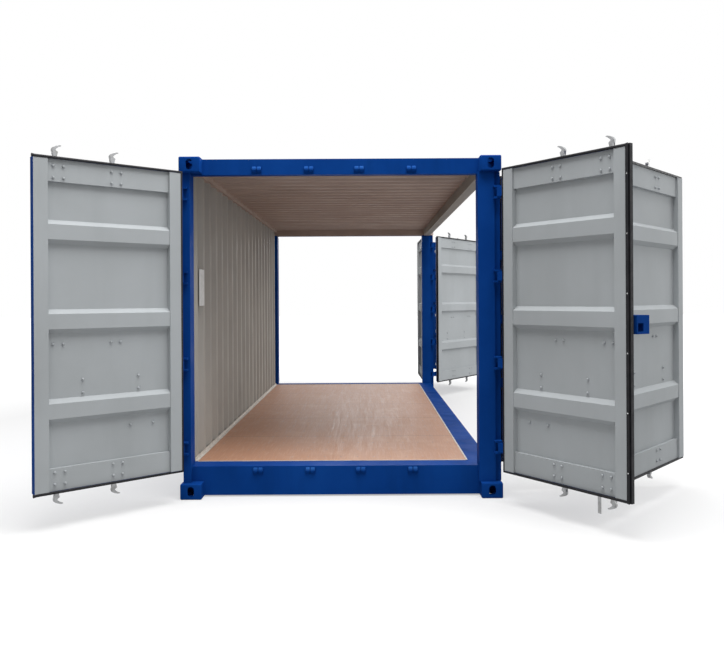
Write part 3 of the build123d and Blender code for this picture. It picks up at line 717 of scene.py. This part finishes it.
# Lock bars: places are along the leaf, outwards from its face, and up
BAR_RADIUS = 0.017
BAR_STANDOFF = 0.033
BAR_STUB = 0.026
BAR_SIDES = 24
COLLAR_RADIUS = 0.022
COLLAR_HALF = 0.028
CAM_THICK = 0.024
CAM_ROUND = 0.003
CAM_HOOK = (
    (0.013, 0.020), (0.013, 0.050), (0.019, 0.057), (0.022, 0.068), (0.020, 0.080), (0.012, 0.090),
    (-0.004, 0.098), (-0.026, 0.105), (-0.040, 0.106), (-0.045, 0.101), (-0.028, 0.094), (-0.012, 0.086),
    (-0.002, 0.077), (0.000, 0.070), (-0.006, 0.064), (-0.020, 0.061), (-0.022, 0.053), (-0.013, 0.047),
    (-0.013, 0.020),
)
GUIDE_SHARES = (0.04, 0.44, 0.96)
GUIDE_HALF = 0.022
GUIDE_STRAP = (
    (-0.046, 0.0), (-0.046, 0.006), (-0.027, 0.006), (-0.027, 0.044), (-0.018, 0.055), (0.018, 0.055),
    (0.027, 0.044), (0.027, 0.006), (0.046, 0.006), (0.046, 0.0), (0.021, 0.0), (0.021, 0.040),
    (0.015, 0.0505), (-0.015, 0.0505), (-0.021, 0.040), (-0.021, 0.0),
)
HANDLE_LEVEL = 0.930
HANDLE_HALF = 0.006
HANDLE_GRIP = (
    (0.010, 0.018), (-0.030, 0.018), (-0.070, 0.011), (-0.288, 0.011), (-0.297, 0.007), (-0.300, 0.0),
    (-0.297, -0.007), (-0.288, -0.011), (-0.070, -0.011), (-0.030, -0.018), (0.010, -0.018),
)
CATCH_PLACE = (-0.186, -0.146)
CATCH_SECTION = (
    (0.0, -0.0245), (0.043, -0.0245), (0.043, -0.008), (0.0395, -0.008), (0.0395, -0.0185),
    (0.0265, -0.0185), (0.0265, 0.018), (0.0, 0.018),
)

# Cam keepers, placed from the lock bars of shut doors
KEEPER_TALL = 0.044
KEEPER_LOBES = (-0.025, 0.013)
KEEPER_HALF = 0.016
KEEPER_PLATE = (-0.046, 0.034)
KEEPER_NOSE = (
    (0.0, -0.028), (0.012, -0.020), (0.019, -0.005), (0.019, 0.003), (0.010, 0.022), (0.0, 0.028),
)
KEEPER_BACK = ((0.0, -0.022), (0.005, -0.022), (0.005, 0.022), (0.0, 0.022))

# Lock box, measured from the free edge, the outer face and the ground
BOX_BACK = 0.114
BOX_PAST = 0.032
BOX_DEEP = 0.127
BOX_LEVELS = (1.281, 1.399)
BOX_WALL = 0.006
BOX_CLEAR = 0.003
BOX_OPENING = (0.012, 0.068)
BOX_OPENING_LEVELS = (1.297, 1.349)


def rail_bolts(leaf, u):
    """Fours of bolts through the rails at a lock bar."""
    depth = RAIL_DEPTH + BOLT_HEIGHT / 2
    for level in RAIL_BOLT_LEVELS:
        for shift_u in (-BOLT_HALF_WIDE, BOLT_HALF_WIDE):
            for shift_z in (-BOLT_HALF_TALL, BOLT_HALF_TALL):
                yield leaf.point(u + shift_u, depth, level + shift_z)


def panel_bolts(leaf, u):
    """Pairs of bolts through the panel at a lock bar's guide and handle rest."""
    depth = PANEL_DEPTH + BOLT_HEIGHT / 2
    for shift_u in (-BOLT_HALF_WIDE, BOLT_HALF_WIDE):
        yield leaf.point(u + shift_u, depth, GUIDE_BOLT_LEVEL)
    for level in REST_BOLT_LEVELS:
        yield leaf.point(u - REST_BOLT_BACK, depth, level)


def leaf_bolts(name, leaf, body, tree, finish, catches):
    """Bolt heads inside a leaf, with a low pair for the catches where asked."""
    places = []
    for u in leaf.bars:
        places.extend(rail_bolts(leaf, u))
        places.extend(panel_bolts(leaf, u))
    if catches:
        depth = PANEL_DEPTH + BOLT_HEIGHT / 2
        hinge_bar = min(leaf.bars)
        places.extend(leaf.point(hinge_bar - back, depth, CATCH_BOLT_LEVEL) for back in CATCH_BOLT_BACK)
    mesh = guide_points(name, places, tuple(leaf.out * -1))
    sizes = {"Head Radius": BOLT_RADIUS, "Head Height": BOLT_HEIGHT}
    mount(grown(name, tree, mesh, sizes, finish), body)


def seal_path(leaf):
    """Path of a seal lip: along the foot, up the hinge side, back along the top, with splayed ends."""
    depth = LEAF_THICK - SEAL_DEEP / 4
    low = LEAF_LOW - SEAL_OVER
    high = LEAF_HIGH + SEAL_OVER
    return [
        leaf.point(leaf.end + SEAL_TIP, depth, low - SEAL_TIP / 3),
        leaf.point(leaf.end - SEAL_TIP, depth, low),
        leaf.point(leaf.start, depth, low),
        leaf.point(leaf.start, depth, high),
        leaf.point(leaf.end - SEAL_TIP, depth, high),
        leaf.point(leaf.end + SEAL_TIP, depth, high + SEAL_TIP / 3),
    ]


def door_seal(name, leaf, body, tree, finish):
    """Rubber lip round three inner edges of a leaf."""
    sizes = {"Lip Width": SEAL_DEEP, "Lip Depth": SEAL_WIDE}
    mount(grown(name, tree, guide_path(name, seal_path(leaf)), sizes, finish), body)


def free_edge_strip(name, leaf, body, tree, rubber, zinc):
    """Rubber strip along a leaf's free edge, inside, with its rivets."""
    run = (leaf.end - STRIP_INNER, leaf.end + STRIP_OUTER)
    low = LEAF_LOW - STRIP_RISE
    high = LEAF_HIGH + STRIP_RISE
    corners = [leaf.point(u, LEAF_THICK, z) for u, z in rectangle(run, (low, high))]
    mount(plate(name, corners, STRIP_THICK, leaf.out * -1, rubber), body)
    middle = sum(run) / 2
    depth = LEAF_THICK + STRIP_THICK + RIVET_HEIGHT / 3
    step = (high - low) / RIVETS
    places = [leaf.point(middle, depth, low + (index + 0.5) * step) for index in range(RIVETS)]
    mesh = guide_points(name + "_rivets", places, tuple(leaf.out * -1))
    sizes = {"Head Radius": RIVET_RADIUS, "Head Height": RIVET_HEIGHT}
    mount(grown(name + "_rivets", tree, mesh, sizes, zinc), body)


def floor_screws(tree, finish):
    """Rows of screws through the boards into each cross member."""
    low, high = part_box("plywood_floor")
    places = []
    for column in range(SCREW_COLUMNS):
        x = low[0] + (column + 0.5) * (high[0] - low[0]) / SCREW_COLUMNS
        for row in range(SCREW_ROWS):
            y = low[1] + (row + 0.5) * (high[1] - low[1]) / SCREW_ROWS
            places.append((x, y, high[2] + SCREW_LIFT))
    mesh = guide_points("floor_screws", places, UP)
    sizes = {"Head Radius": SCREW_RADIUS, "Head Height": SCREW_HEIGHT}
    mount(grown("floor_screws", tree, mesh, sizes, finish), "container")


def floor_trim(finish):
    """Pale sealant along the floor's ends, its right edge and the foot of the left wall."""
    low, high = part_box("plywood_floor")
    length = (low[0], high[0])
    width = (low[1], high[1])
    runs = {
        "front_floor_trim": ((high[0], high[0] + TRIM_WIDE), width),
        "rear_floor_trim": ((low[0] - TRIM_WIDE, low[0]), width),
        "right_floor_trim": (length, (high[1], high[1] + TRIM_WIDE)),
        "wall_foot_trim": (length, (WALL_FACE, low[1])),
    }
    for name, spans in runs.items():
        corners = [(x, y, high[2]) for x, y in rectangle(*spans)]
        mount(plate(name, corners, TRIM_THICK, UP, finish), "container")


def wall_hollow_trim(finish):
    """Pale sealant on the bottom rail, in each hollow of the left wall."""
    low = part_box("left_wall")[0]
    bed = low[2]
    vertices = frame["nodes"]["left_wall"].data.vertices
    foot = {(round(vert.co.x, 4), round(vert.co.y, 4)) for vert in vertices if vert.co.z < bed + FOOT_SLICE}
    hollow = min(y for x, y in foot if y > low[1] + WALL_SHEET / 2)
    face = [(x, y) for x, y in sorted(foot) if min(abs(y - hollow), abs(y - WALL_FACE)) < SAME_FACE]
    form = bmesh.new()
    for (first_x, first_y), (last_x, last_y) in zip(face, face[1:]):
        outline = [(first_x, first_y), (last_x, last_y), (last_x, WALL_FACE), (first_x, WALL_FACE)]
        corners = [place for index, place in enumerate(outline) if place not in outline[:index]]
        if len(corners) > 2:
            form.faces.new([form.verts.new((x, y, bed)) for x, y in corners])
    bmesh.ops.remove_doubles(form, verts=form.verts, dist=TOUCH)
    draw_out(form, list(form.faces), (0.0, 0.0, TRIM_THICK))
    mount(made("wall_hollow_trim", form, finish), "container")


def wall_skirting(finish):
    """Low pale strip on the left wall's foot, over the ends of its hollows."""
    low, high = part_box("plywood_floor")
    levels = (high[2], high[2] + SKIRTING_TALL)
    corners = [(x, WALL_FACE, z) for x, z in rectangle((low[0], high[0]), levels)]
    mount(plate("wall_skirting", corners, TRIM_THICK, RIGHT, finish), "container")


def post_flanges(finish):
    """Flange on each right post, behind the hinge pins, out to the side of the box."""
    width = (SIDE_Y - POST_RECESS, SIDE_Y - FLANGE_INSET)
    for end, hand in (("front", 1.0), ("rear", -1.0)):
        low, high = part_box(end + "_right_post")
        x = hand * (END_X - FLANGE_BACK)
        corners = [(x, y, z) for y, z in rectangle(width, (low[2], high[2]))]
        piece = plate(end + "_post_flange", corners, FLANGE_THICK, (-hand, 0.0, 0.0), finish)
        mount(piece, "container")


def floor_joint(finish):
    """Filler in the joint between the floor's two runs of boards."""
    low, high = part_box("plywood_floor")
    middle = (low[1] + high[1]) / 2
    width = (middle - JOINT_HALF, middle + JOINT_HALF)
    corners = [(x, y, high[2] - JOINT_DEEP) for x, y in rectangle((low[0], high[0]), width)]
    mount(plate("floor_joint", corners, JOINT_DEEP, UP, finish), "container")


def bare_wall_plate(finish):
    """Bare white plate inside the left wall, near the front."""
    corners = [(x, WALL_FACE, z) for x, z in rectangle(WALL_PLATE_RUN, WALL_PLATE_LEVELS)]
    mount(plate("bare_wall_plate", corners, TRIM_THICK, RIGHT, finish), "container")


def block(low, high):
    """A box between two corners, as a mesh in the making."""
    form = bmesh.new()
    bmesh.ops.create_cube(form, size=1.0)
    for vert in form.verts:
        vert.co = [low[axis] if vert.co[axis] < 0 else high[axis] for axis in range(3)]
    return form


def oval(centre, axes, long, wide, deep):
    """A prism with an oval outline: long and wide along two axes, deep along the third."""
    along, across, through = axes
    form = bmesh.new()
    outline = []
    for index in range(2 * OVAL_STEPS):
        turn = radians(360.0 * (index + 0.5) / (2 * OVAL_STEPS))
        shift = (long - wide) / 2 * (1 if index < OVAL_STEPS else -1)
        place = [0.0, 0.0, 0.0]
        place[along] = centre[along] + wide / 2 * sin(turn) + shift
        place[across] = centre[across] + wide / 2 * cos(turn)
        place[through] = centre[through] - deep / 2
        outline.append(form.verts.new(place))
    push = [0.0, 0.0, 0.0]
    push[through] = deep
    draw_out(form, [form.faces.new(outline)], push)
    return form


def soften(form):
    """Shades a form smooth, with its sharp edges kept."""
    for face in form.faces:
        face.smooth = True
    for edge in form.edges:
        edge.smooth = edge.calc_face_angle(0.0) < radians(SHARP_ANGLE)


def carved(name, form, cutters, finish):
    """The form with the cutters taken out of it, shaded smooth across its roundings."""
    body = made(name, form, finish)
    tools = [made(f"{name}_cutter", cutter, finish) for cutter in cutters]
    for tool in tools:
        modifier = body.modifiers.new("carve", "BOOLEAN")
        modifier.operation = "DIFFERENCE"
        modifier.object = tool
    evaluated = body.evaluated_get(bpy.context.evaluated_depsgraph_get())
    result = bmesh.new()
    result.from_mesh(evaluated.to_mesh())
    for item in [body, *tools]:
        mesh = item.data
        bpy.data.objects.remove(item)
        bpy.data.meshes.remove(mesh)
    for face in result.faces:
        face.material_index = 0
    soften(result)
    return made(name, result, finish)


def rounded_casting(name, finish):
    """A corner casting with rounded outer edges, hollow, with an oval aperture in each outer side."""
    low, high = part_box(name)
    middle = [(first + last) / 2 for first, last in zip(low, high)]
    side = [1 if middle[0] > 0 else -1, 1 if middle[1] > 0 else -1, 1 if middle[2] > HEIGHT / 2 else -1]
    outer = [high[axis] if side[axis] > 0 else low[axis] for axis in range(3)]
    form = block(low, high)
    edges = [edge for edge in form.edges if
             any(all(abs(vert.co[axis] - outer[axis]) < TOUCH for vert in edge.verts) for axis in range(3))]
    bmesh.ops.bevel(form, geom=edges, offset=CASTING_ROUND, segments=CASTING_STEPS,
                    profile=CASTING_PROFILE, affect="EDGES")
    floor_wall, roof_wall = (CASTING_BACK, CASTING_FACE) if side[2] > 0 else (CASTING_FACE, CASTING_BACK)
    hollow_low = (low[0] + CASTING_WALL, low[1] + CASTING_WALL, low[2] + floor_wall)
    hollow_high = (high[0] - CASTING_WALL, high[1] - CASTING_WALL, high[2] - roof_wall)
    lifting = (outer[0] - side[0] * APERTURE_INSETS[0], outer[1] - side[1] * APERTURE_INSETS[1], outer[2])
    upright = (SIDE_APERTURE_TALL, SIDE_APERTURE_WIDE, SIDE_APERTURE_CUT)
    cutters = [
        block(hollow_low, hollow_high),
        oval(lifting, (0, 1, 2), APERTURE_LONG, APERTURE_WIDE, APERTURE_CUT),
        oval((outer[0], middle[1], middle[2]), (2, 1, 0), *upright),
        oval((middle[0], outer[1], middle[2]), (2, 0, 1), *upright),
    ]
    piece = carved(name + "_rounded", form, cutters, finish)
    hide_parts(name)
    mount(piece, "container")


def prism(form, outline, low, high, place):
    """Adds a prism: an outline in two directions, drawn out along the third by a placing rule."""
    ends = [[form.verts.new(place(first, second, level)) for first, second in outline]
            for level in (low, high)]
    faces = [form.faces.new(end) for end in ends]
    for index in range(len(outline)):
        after = index - 1
        faces.append(form.faces.new((ends[0][index], ends[0][after], ends[1][after], ends[1][index])))
    return {edge for face in faces for edge in face.edges}


def round_edges(form, edges):
    """Small roundings on the edges of a cam or keeper."""
    bmesh.ops.bevel(form, geom=list(edges), offset=CAM_ROUND, segments=EDGE_STEPS, affect="EDGES")


def bar_rule(leaf, bar, along, out, level):
    """Placing rule at a lock bar: which of a prism's three numbers runs along the leaf, outwards and up."""
    def place(*numbers):
        return leaf.point(bar + numbers[along], -numbers[out], numbers[level])
    return place


def round_outline(radius):
    """Outline of a round bar about a lock bar's axis."""
    turns = [radians(360.0 * index / BAR_SIDES) for index in range(BAR_SIDES)]
    return [(radius * cos(turn), BAR_STANDOFF + radius * sin(turn)) for turn in turns]


def add_lock_bar(form, leaf, bar):
    """One lock bar with hooked cams, strap guides, a handle and its catch."""
    upright = bar_rule(leaf, bar, 0, 1, 2)
    flat = bar_rule(leaf, bar, 0, 2, 1)
    lengthways = bar_rule(leaf, bar, 2, 0, 1)
    prism(form, round_outline(BAR_RADIUS), LEAF_LOW - BAR_STUB, LEAF_HIGH + BAR_STUB, upright)
    for edge_level, way in ((LEAF_LOW, -1), (LEAF_HIGH, 1)):
        hook = [(along, edge_level + way * rise) for along, rise in CAM_HOOK]
        edges = prism(form, hook, BAR_STANDOFF - CAM_THICK / 2, BAR_STANDOFF + CAM_THICK / 2, flat)
        round_edges(form, edges)
    for share in GUIDE_SHARES:
        level = LEAF_LOW + share * (LEAF_HIGH - LEAF_LOW)
        prism(form, GUIDE_STRAP, level - GUIDE_HALF, level + GUIDE_HALF, upright)
    prism(form, round_outline(COLLAR_RADIUS), HANDLE_LEVEL - COLLAR_HALF, HANDLE_LEVEL + COLLAR_HALF, upright)
    grip = [(along, HANDLE_LEVEL + rise) for along, rise in HANDLE_GRIP]
    prism(form, grip, BAR_STANDOFF - HANDLE_HALF, BAR_STANDOFF + HANDLE_HALF, flat)
    catch = [(out, HANDLE_LEVEL + rise) for out, rise in CATCH_SECTION]
    prism(form, catch, *CATCH_PLACE, lengthways)


def lock_gear(node, leaves, body, finish):
    """All lock bars of one door or folding pair, in place of its plain ones."""
    form = bmesh.new()
    for leaf in leaves:
        for bar in leaf.bars:
            add_lock_bar(form, leaf, bar)
    bmesh.ops.recalc_face_normals(form, faces=form.faces)
    soften(form)
    piece = made(node + "_hooked", form, finish)
    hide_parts(node)
    mount(piece, body)


def cam_keepers(finish):
    """Two-nosed cam keepers on the header and sill of both ends, in place of the plain ones."""
    shut = end_leaves(True)
    for end in ("front", "rear"):
        node = end + "_cam_keepers"
        low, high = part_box(node)
        middles = (low[2] + KEEPER_TALL / 2, high[2] - KEEPER_TALL / 2)
        form = bmesh.new()
        for leaf in (shut[end + "_left_door"], shut[end + "_right_door"]):
            for bar in leaf.bars:
                lengthways = bar_rule(leaf, bar, 2, 0, 1)
                for middle in middles:
                    back = [(out, middle + rise) for out, rise in KEEPER_BACK]
                    prism(form, back, *KEEPER_PLATE, lengthways)
                    nose = [(out, middle + rise) for out, rise in KEEPER_NOSE]
                    for lobe in KEEPER_LOBES:
                        edges = prism(form, nose, lobe - KEEPER_HALF, lobe + KEEPER_HALF, lengthways)
                        round_edges(form, edges)
        bmesh.ops.recalc_face_normals(form, faces=form.faces)
        soften(form)
        piece = made(node + "_lobed", form, finish)
        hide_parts(node)
        mount(piece, "container")


def leaf_block(leaf, along, out, levels):
    """A box in a leaf's own directions: past its free edge, outwards from its face, and up."""
    form = block((along[0], out[0], levels[0]), (along[1], out[1], levels[1]))
    for vert in form.verts:
        vert.co = leaf.point(leaf.end + vert.co.x, -vert.co.y, vert.co.z)
    bmesh.ops.recalc_face_normals(form, faces=form.faces)
    return form


def edge_lock_box(leaf, finish):
    """Lock box that reaches past the free edge: open below, with a square opening in its end."""
    form = leaf_block(leaf, (-BOX_BACK, BOX_PAST), (0.0, BOX_DEEP), BOX_LEVELS)
    hollow_run = (BOX_WALL - BOX_BACK, BOX_PAST - BOX_WALL)
    hollow_out = (2 * BOX_WALL, BOX_DEEP - BOX_WALL)
    below = BOX_LEVELS[0] - BOX_WALL
    cutters = [
        leaf_block(leaf, hollow_run, hollow_out, (below, BOX_LEVELS[1] - BOX_WALL)),
        leaf_block(leaf, (0.0, 2 * BOX_PAST), (-BOX_WALL, BOX_CLEAR), (below, HEIGHT)),
        leaf_block(leaf, (BOX_PAST - 2 * BOX_WALL, 2 * BOX_PAST), BOX_OPENING, BOX_OPENING_LEVELS),
    ]
    piece = carved("edge_lock_box", form, cutters, finish)
    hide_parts("lock_box")
    mount(piece, "front_right_door")


def paint_nodes(finishes, special):
    """Puts a finish on every solid of the frame."""
    slots = {item["node"]: item["material_slot"] for item in RECORD["subparts"]}
    for name, node in frame["nodes"].items():
        finish = special.get(name) or finishes[slots[name]]
        for slot in node.material_slots:
            slot.material = finish


def lined_nodes():
    """Finishes of the pieces that are blue outside and lined with the inside colour."""
    return {
        "left_wall": lined_paint("left_wall_paint", [RIGHT], *WALL_LINING),
        "left_top_rail": lined_paint("left_top_rail_paint", [RIGHT, DOWN], *ROOF_LINING_BOUNCE_TINTED),
        "roof": lined_paint("roof_paint", [DOWN], *ROOF_LINING_BOUNCE_TINTED),
        "front_header": lined_paint("front_header_paint", [REARWARDS], *ROOF_LINING_BOUNCE_TINTED),
        "rear_header": lined_paint("rear_header_paint", [FRONTWARDS], *ROOF_LINING_BOUNCE_TINTED),
        "right_top_rail": lined_paint("right_top_rail_paint", [LEFT, DOWN], *WALL_LINING),
    }


def build_object():
    """Finishes on all solids, and the pieces that dress them."""
    doors = end_leaves()
    sides = side_leaves()
    finishes = {
        "blue_frame_paint": blue_paint(),
        "galvanised_steel": zinc_coat(),
        "black_rubber": black_rubber(),
        "plywood": plywood(),
    }
    special = lined_nodes()
    for name, leaf in doors.items():
        special[name] = leaf_paint(name + "_paint", leaf, True)
    for name, leaf in sides.items():
        special[name] = leaf_paint(name + "_paint", leaf, False)
    paint_nodes(finishes, special)
    bolts = bolt_head_tree()
    lips = seal_lip_tree()
    for name, leaf in doors.items():
        leaf_bolts(name + "_bolts", leaf, name, bolts, special[name], True)
        door_seal(name + "_seal_lip", leaf, name, lips, finishes["black_rubber"])
    for name in ("front_right_door", "rear_right_door"):
        free_edge_strip(name + "_edge_strip", doors[name], name, bolts, finishes["black_rubber"],
                        finishes["galvanised_steel"])
    for name, leaf in sides.items():
        leaf_bolts(name + "_bolts", leaf, "container", bolts, special[name], False)
    for name, leaf in doors.items():
        lock_gear(name.replace("_door", "_lock_gear"), [leaf], name, finishes["galvanised_steel"])
    for pair in SIDE_PAIRS:
        leaves = [sides[f"{pair}_{place}_leaf"] for place in ("first", "second")]
        lock_gear(pair + "_lock_gear", leaves, "container", finishes["galvanised_steel"])
    cam_keepers(keeper_paint())
    edge_lock_box(doors["front_right_door"], finishes["blue_frame_paint"])
    casting_paint = {
        "front": lined_paint("front_casting_paint", [REARWARDS], *ROOF_LINING_BOUNCE_TINTED),
        "rear": lined_paint("rear_casting_paint", [FRONTWARDS], *ROOF_LINING_BOUNCE_TINTED),
    }
    for name in [name for name in frame["nodes"] if name.endswith("_casting")]:
        rounded_casting(name, casting_paint[name.split("_")[0]])
    floor_screws(bolts, finishes["galvanised_steel"])
    sealant = pale_coat("pale_sealant", SEALANT, SEALANT_DIRTY)
    floor_trim(sealant)
    wall_hollow_trim(sealant)
    wall_skirting(sealant)
    post_flanges(finishes["blue_frame_paint"])
    floor_joint(finishes["plywood"])
    bare_wall_plate(pale_coat("bare_plate_white", PLATE_WHITE, PLATE_WORN))


# Setting

WHITE = (1.0, 1.0, 1.0, 1.0)
FLOOR_HALF = 60.0
FLOOR_GREY = (0.40, 0.40, 0.40, 1.0)
FLOOR_ROUGH = 0.9
FLOOR_GLOW_NEAR = 0.46
FLOOR_GLOW_FAR = 1.0
FLOOR_NEAR = 4.5
FLOOR_FAR = 10.0
AMBIENT = 0.45

# Place, target, size and power of each lamp
LAMPS = {
    "overhead_lamp": ((4.0, 0.5, 9.0), (3.0, 0.0, 1.0), 7.0, 1300.0),
    "side_lamp": ((0.0, 9.0, 4.0), (-0.5, -0.5, 0.4), 6.0, 330.0),
    "far_lamp": ((-9.0, 1.5, 5.0), (-2.0, 0.0, 0.2), 5.0, 340.0),
}


def lens_rays(tree):
    """Socket that is one for rays the lens sees straight, mirrored or through glass."""
    path = tree.nodes.new("ShaderNodeLightPath")
    seen = path.outputs["Is Camera Ray"]
    for name in ("Is Glossy Ray", "Is Transmission Ray"):
        either = tree.nodes.new("ShaderNodeMath")
        either.operation = "MAXIMUM"
        tree.links.new(seen, either.inputs[0])
        tree.links.new(path.outputs[name], either.inputs[1])
        seen = either.outputs["Value"]
    return seen


def pale_floor():
    """Plain pale floor that reads as white to the lens and keeps the object's shadow."""
    span = (-FLOOR_HALF, FLOOR_HALF)
    mesh = bpy.data.meshes.new("pale_floor")
    mesh.from_pydata([(x, y, 0.0) for x, y in rectangle(span, span)], [], [(0, 1, 2, 3)])
    material = bpy.data.materials.new("pale_floor")
    material.use_nodes = True
    tree = material.node_tree
    shader = tree.nodes["Principled BSDF"]
    preset(shader, {"Base Color": FLOOR_GREY, "Roughness": FLOOR_ROUGH,
                    "Specular IOR Level": 0.0, "Emission Color": WHITE})
    place = tree.nodes.new("ShaderNodeTexCoord")
    distance = tree.nodes.new("ShaderNodeVectorMath")
    distance.operation = "LENGTH"
    tree.links.new(place.outputs["Object"], distance.inputs[0])
    level = tree.nodes.new("ShaderNodeMapRange")
    preset(level, {"From Min": FLOOR_NEAR, "From Max": FLOOR_FAR,
                   "To Min": FLOOR_GLOW_NEAR, "To Max": FLOOR_GLOW_FAR})
    tree.links.new(distance.outputs["Value"], level.inputs["Value"])
    glow = tree.nodes.new("ShaderNodeMath")
    glow.operation = "MULTIPLY"
    tree.links.new(lens_rays(tree), glow.inputs[0])
    tree.links.new(level.outputs["Result"], glow.inputs[1])
    tree.links.new(glow.outputs["Value"], shader.inputs["Emission Strength"])
    mesh.materials.append(material)
    floor = bpy.data.objects.new("pale_floor", mesh)
    bpy.context.scene.collection.objects.link(floor)
    floor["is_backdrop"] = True


def white_world():
    """White behind the object, and an even soft light on it."""
    world = bpy.data.worlds.new("studio")
    bpy.context.scene.world = world
    world.use_nodes = True
    tree = world.node_tree
    background = tree.nodes["Background"]
    background.inputs["Color"].default_value = WHITE
    strength = tree.nodes.new("ShaderNodeMapRange")
    preset(strength, {"To Min": AMBIENT, "To Max": 1.0})
    tree.links.new(lens_rays(tree), strength.inputs["Value"])
    tree.links.new(strength.outputs["Result"], background.inputs["Strength"])


def area_lamp(name, place, target, size, power):
    """A large soft lamp aimed at a point."""
    data = bpy.data.lights.new(name, "AREA")
    data.shape = "SQUARE"
    data.size = size
    data.energy = power
    lamp = bpy.data.objects.new(name, data)
    lamp.location = place
    lamp.visible_camera = False
    lamp.rotation_euler = (Vector(target) - Vector(place)).to_track_quat("-Z", "Y").to_euler()
    bpy.context.scene.collection.objects.link(lamp)


def camera():
    """Camera at the photograph's viewpoint."""
    data = bpy.data.cameras.new("camera")
    data.sensor_width = SENSOR
    data.lens = SENSOR * FOCAL_PIXELS / PHOTO_WIDTH
    data.shift_x = -VANISHING_RIGHT / PHOTO_WIDTH
    data.shift_y = -VANISHING_UP / PHOTO_WIDTH
    data.clip_end = CLIP_END
    view = bpy.data.objects.new("camera", data)
    view.location = (END_X + CAMERA_BACK, CAMERA_SIDE, CAMERA_HEIGHT)
    view.rotation_euler = (radians(90), radians(CAMERA_ROLL), radians(90))
    bpy.context.scene.collection.objects.link(view)
    bpy.context.scene.camera = view


build_object()
pale_floor()
white_world()
for lamp_name, settings in LAMPS.items():
    area_lamp(lamp_name, *settings)
camera()
bpy.context.scene.view_settings.view_transform = "Standard"

sizes = {"cad": CAD_BOX, "visual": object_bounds()}
{name: [list(corner) for corner in box] for name, box in sizes.items()}
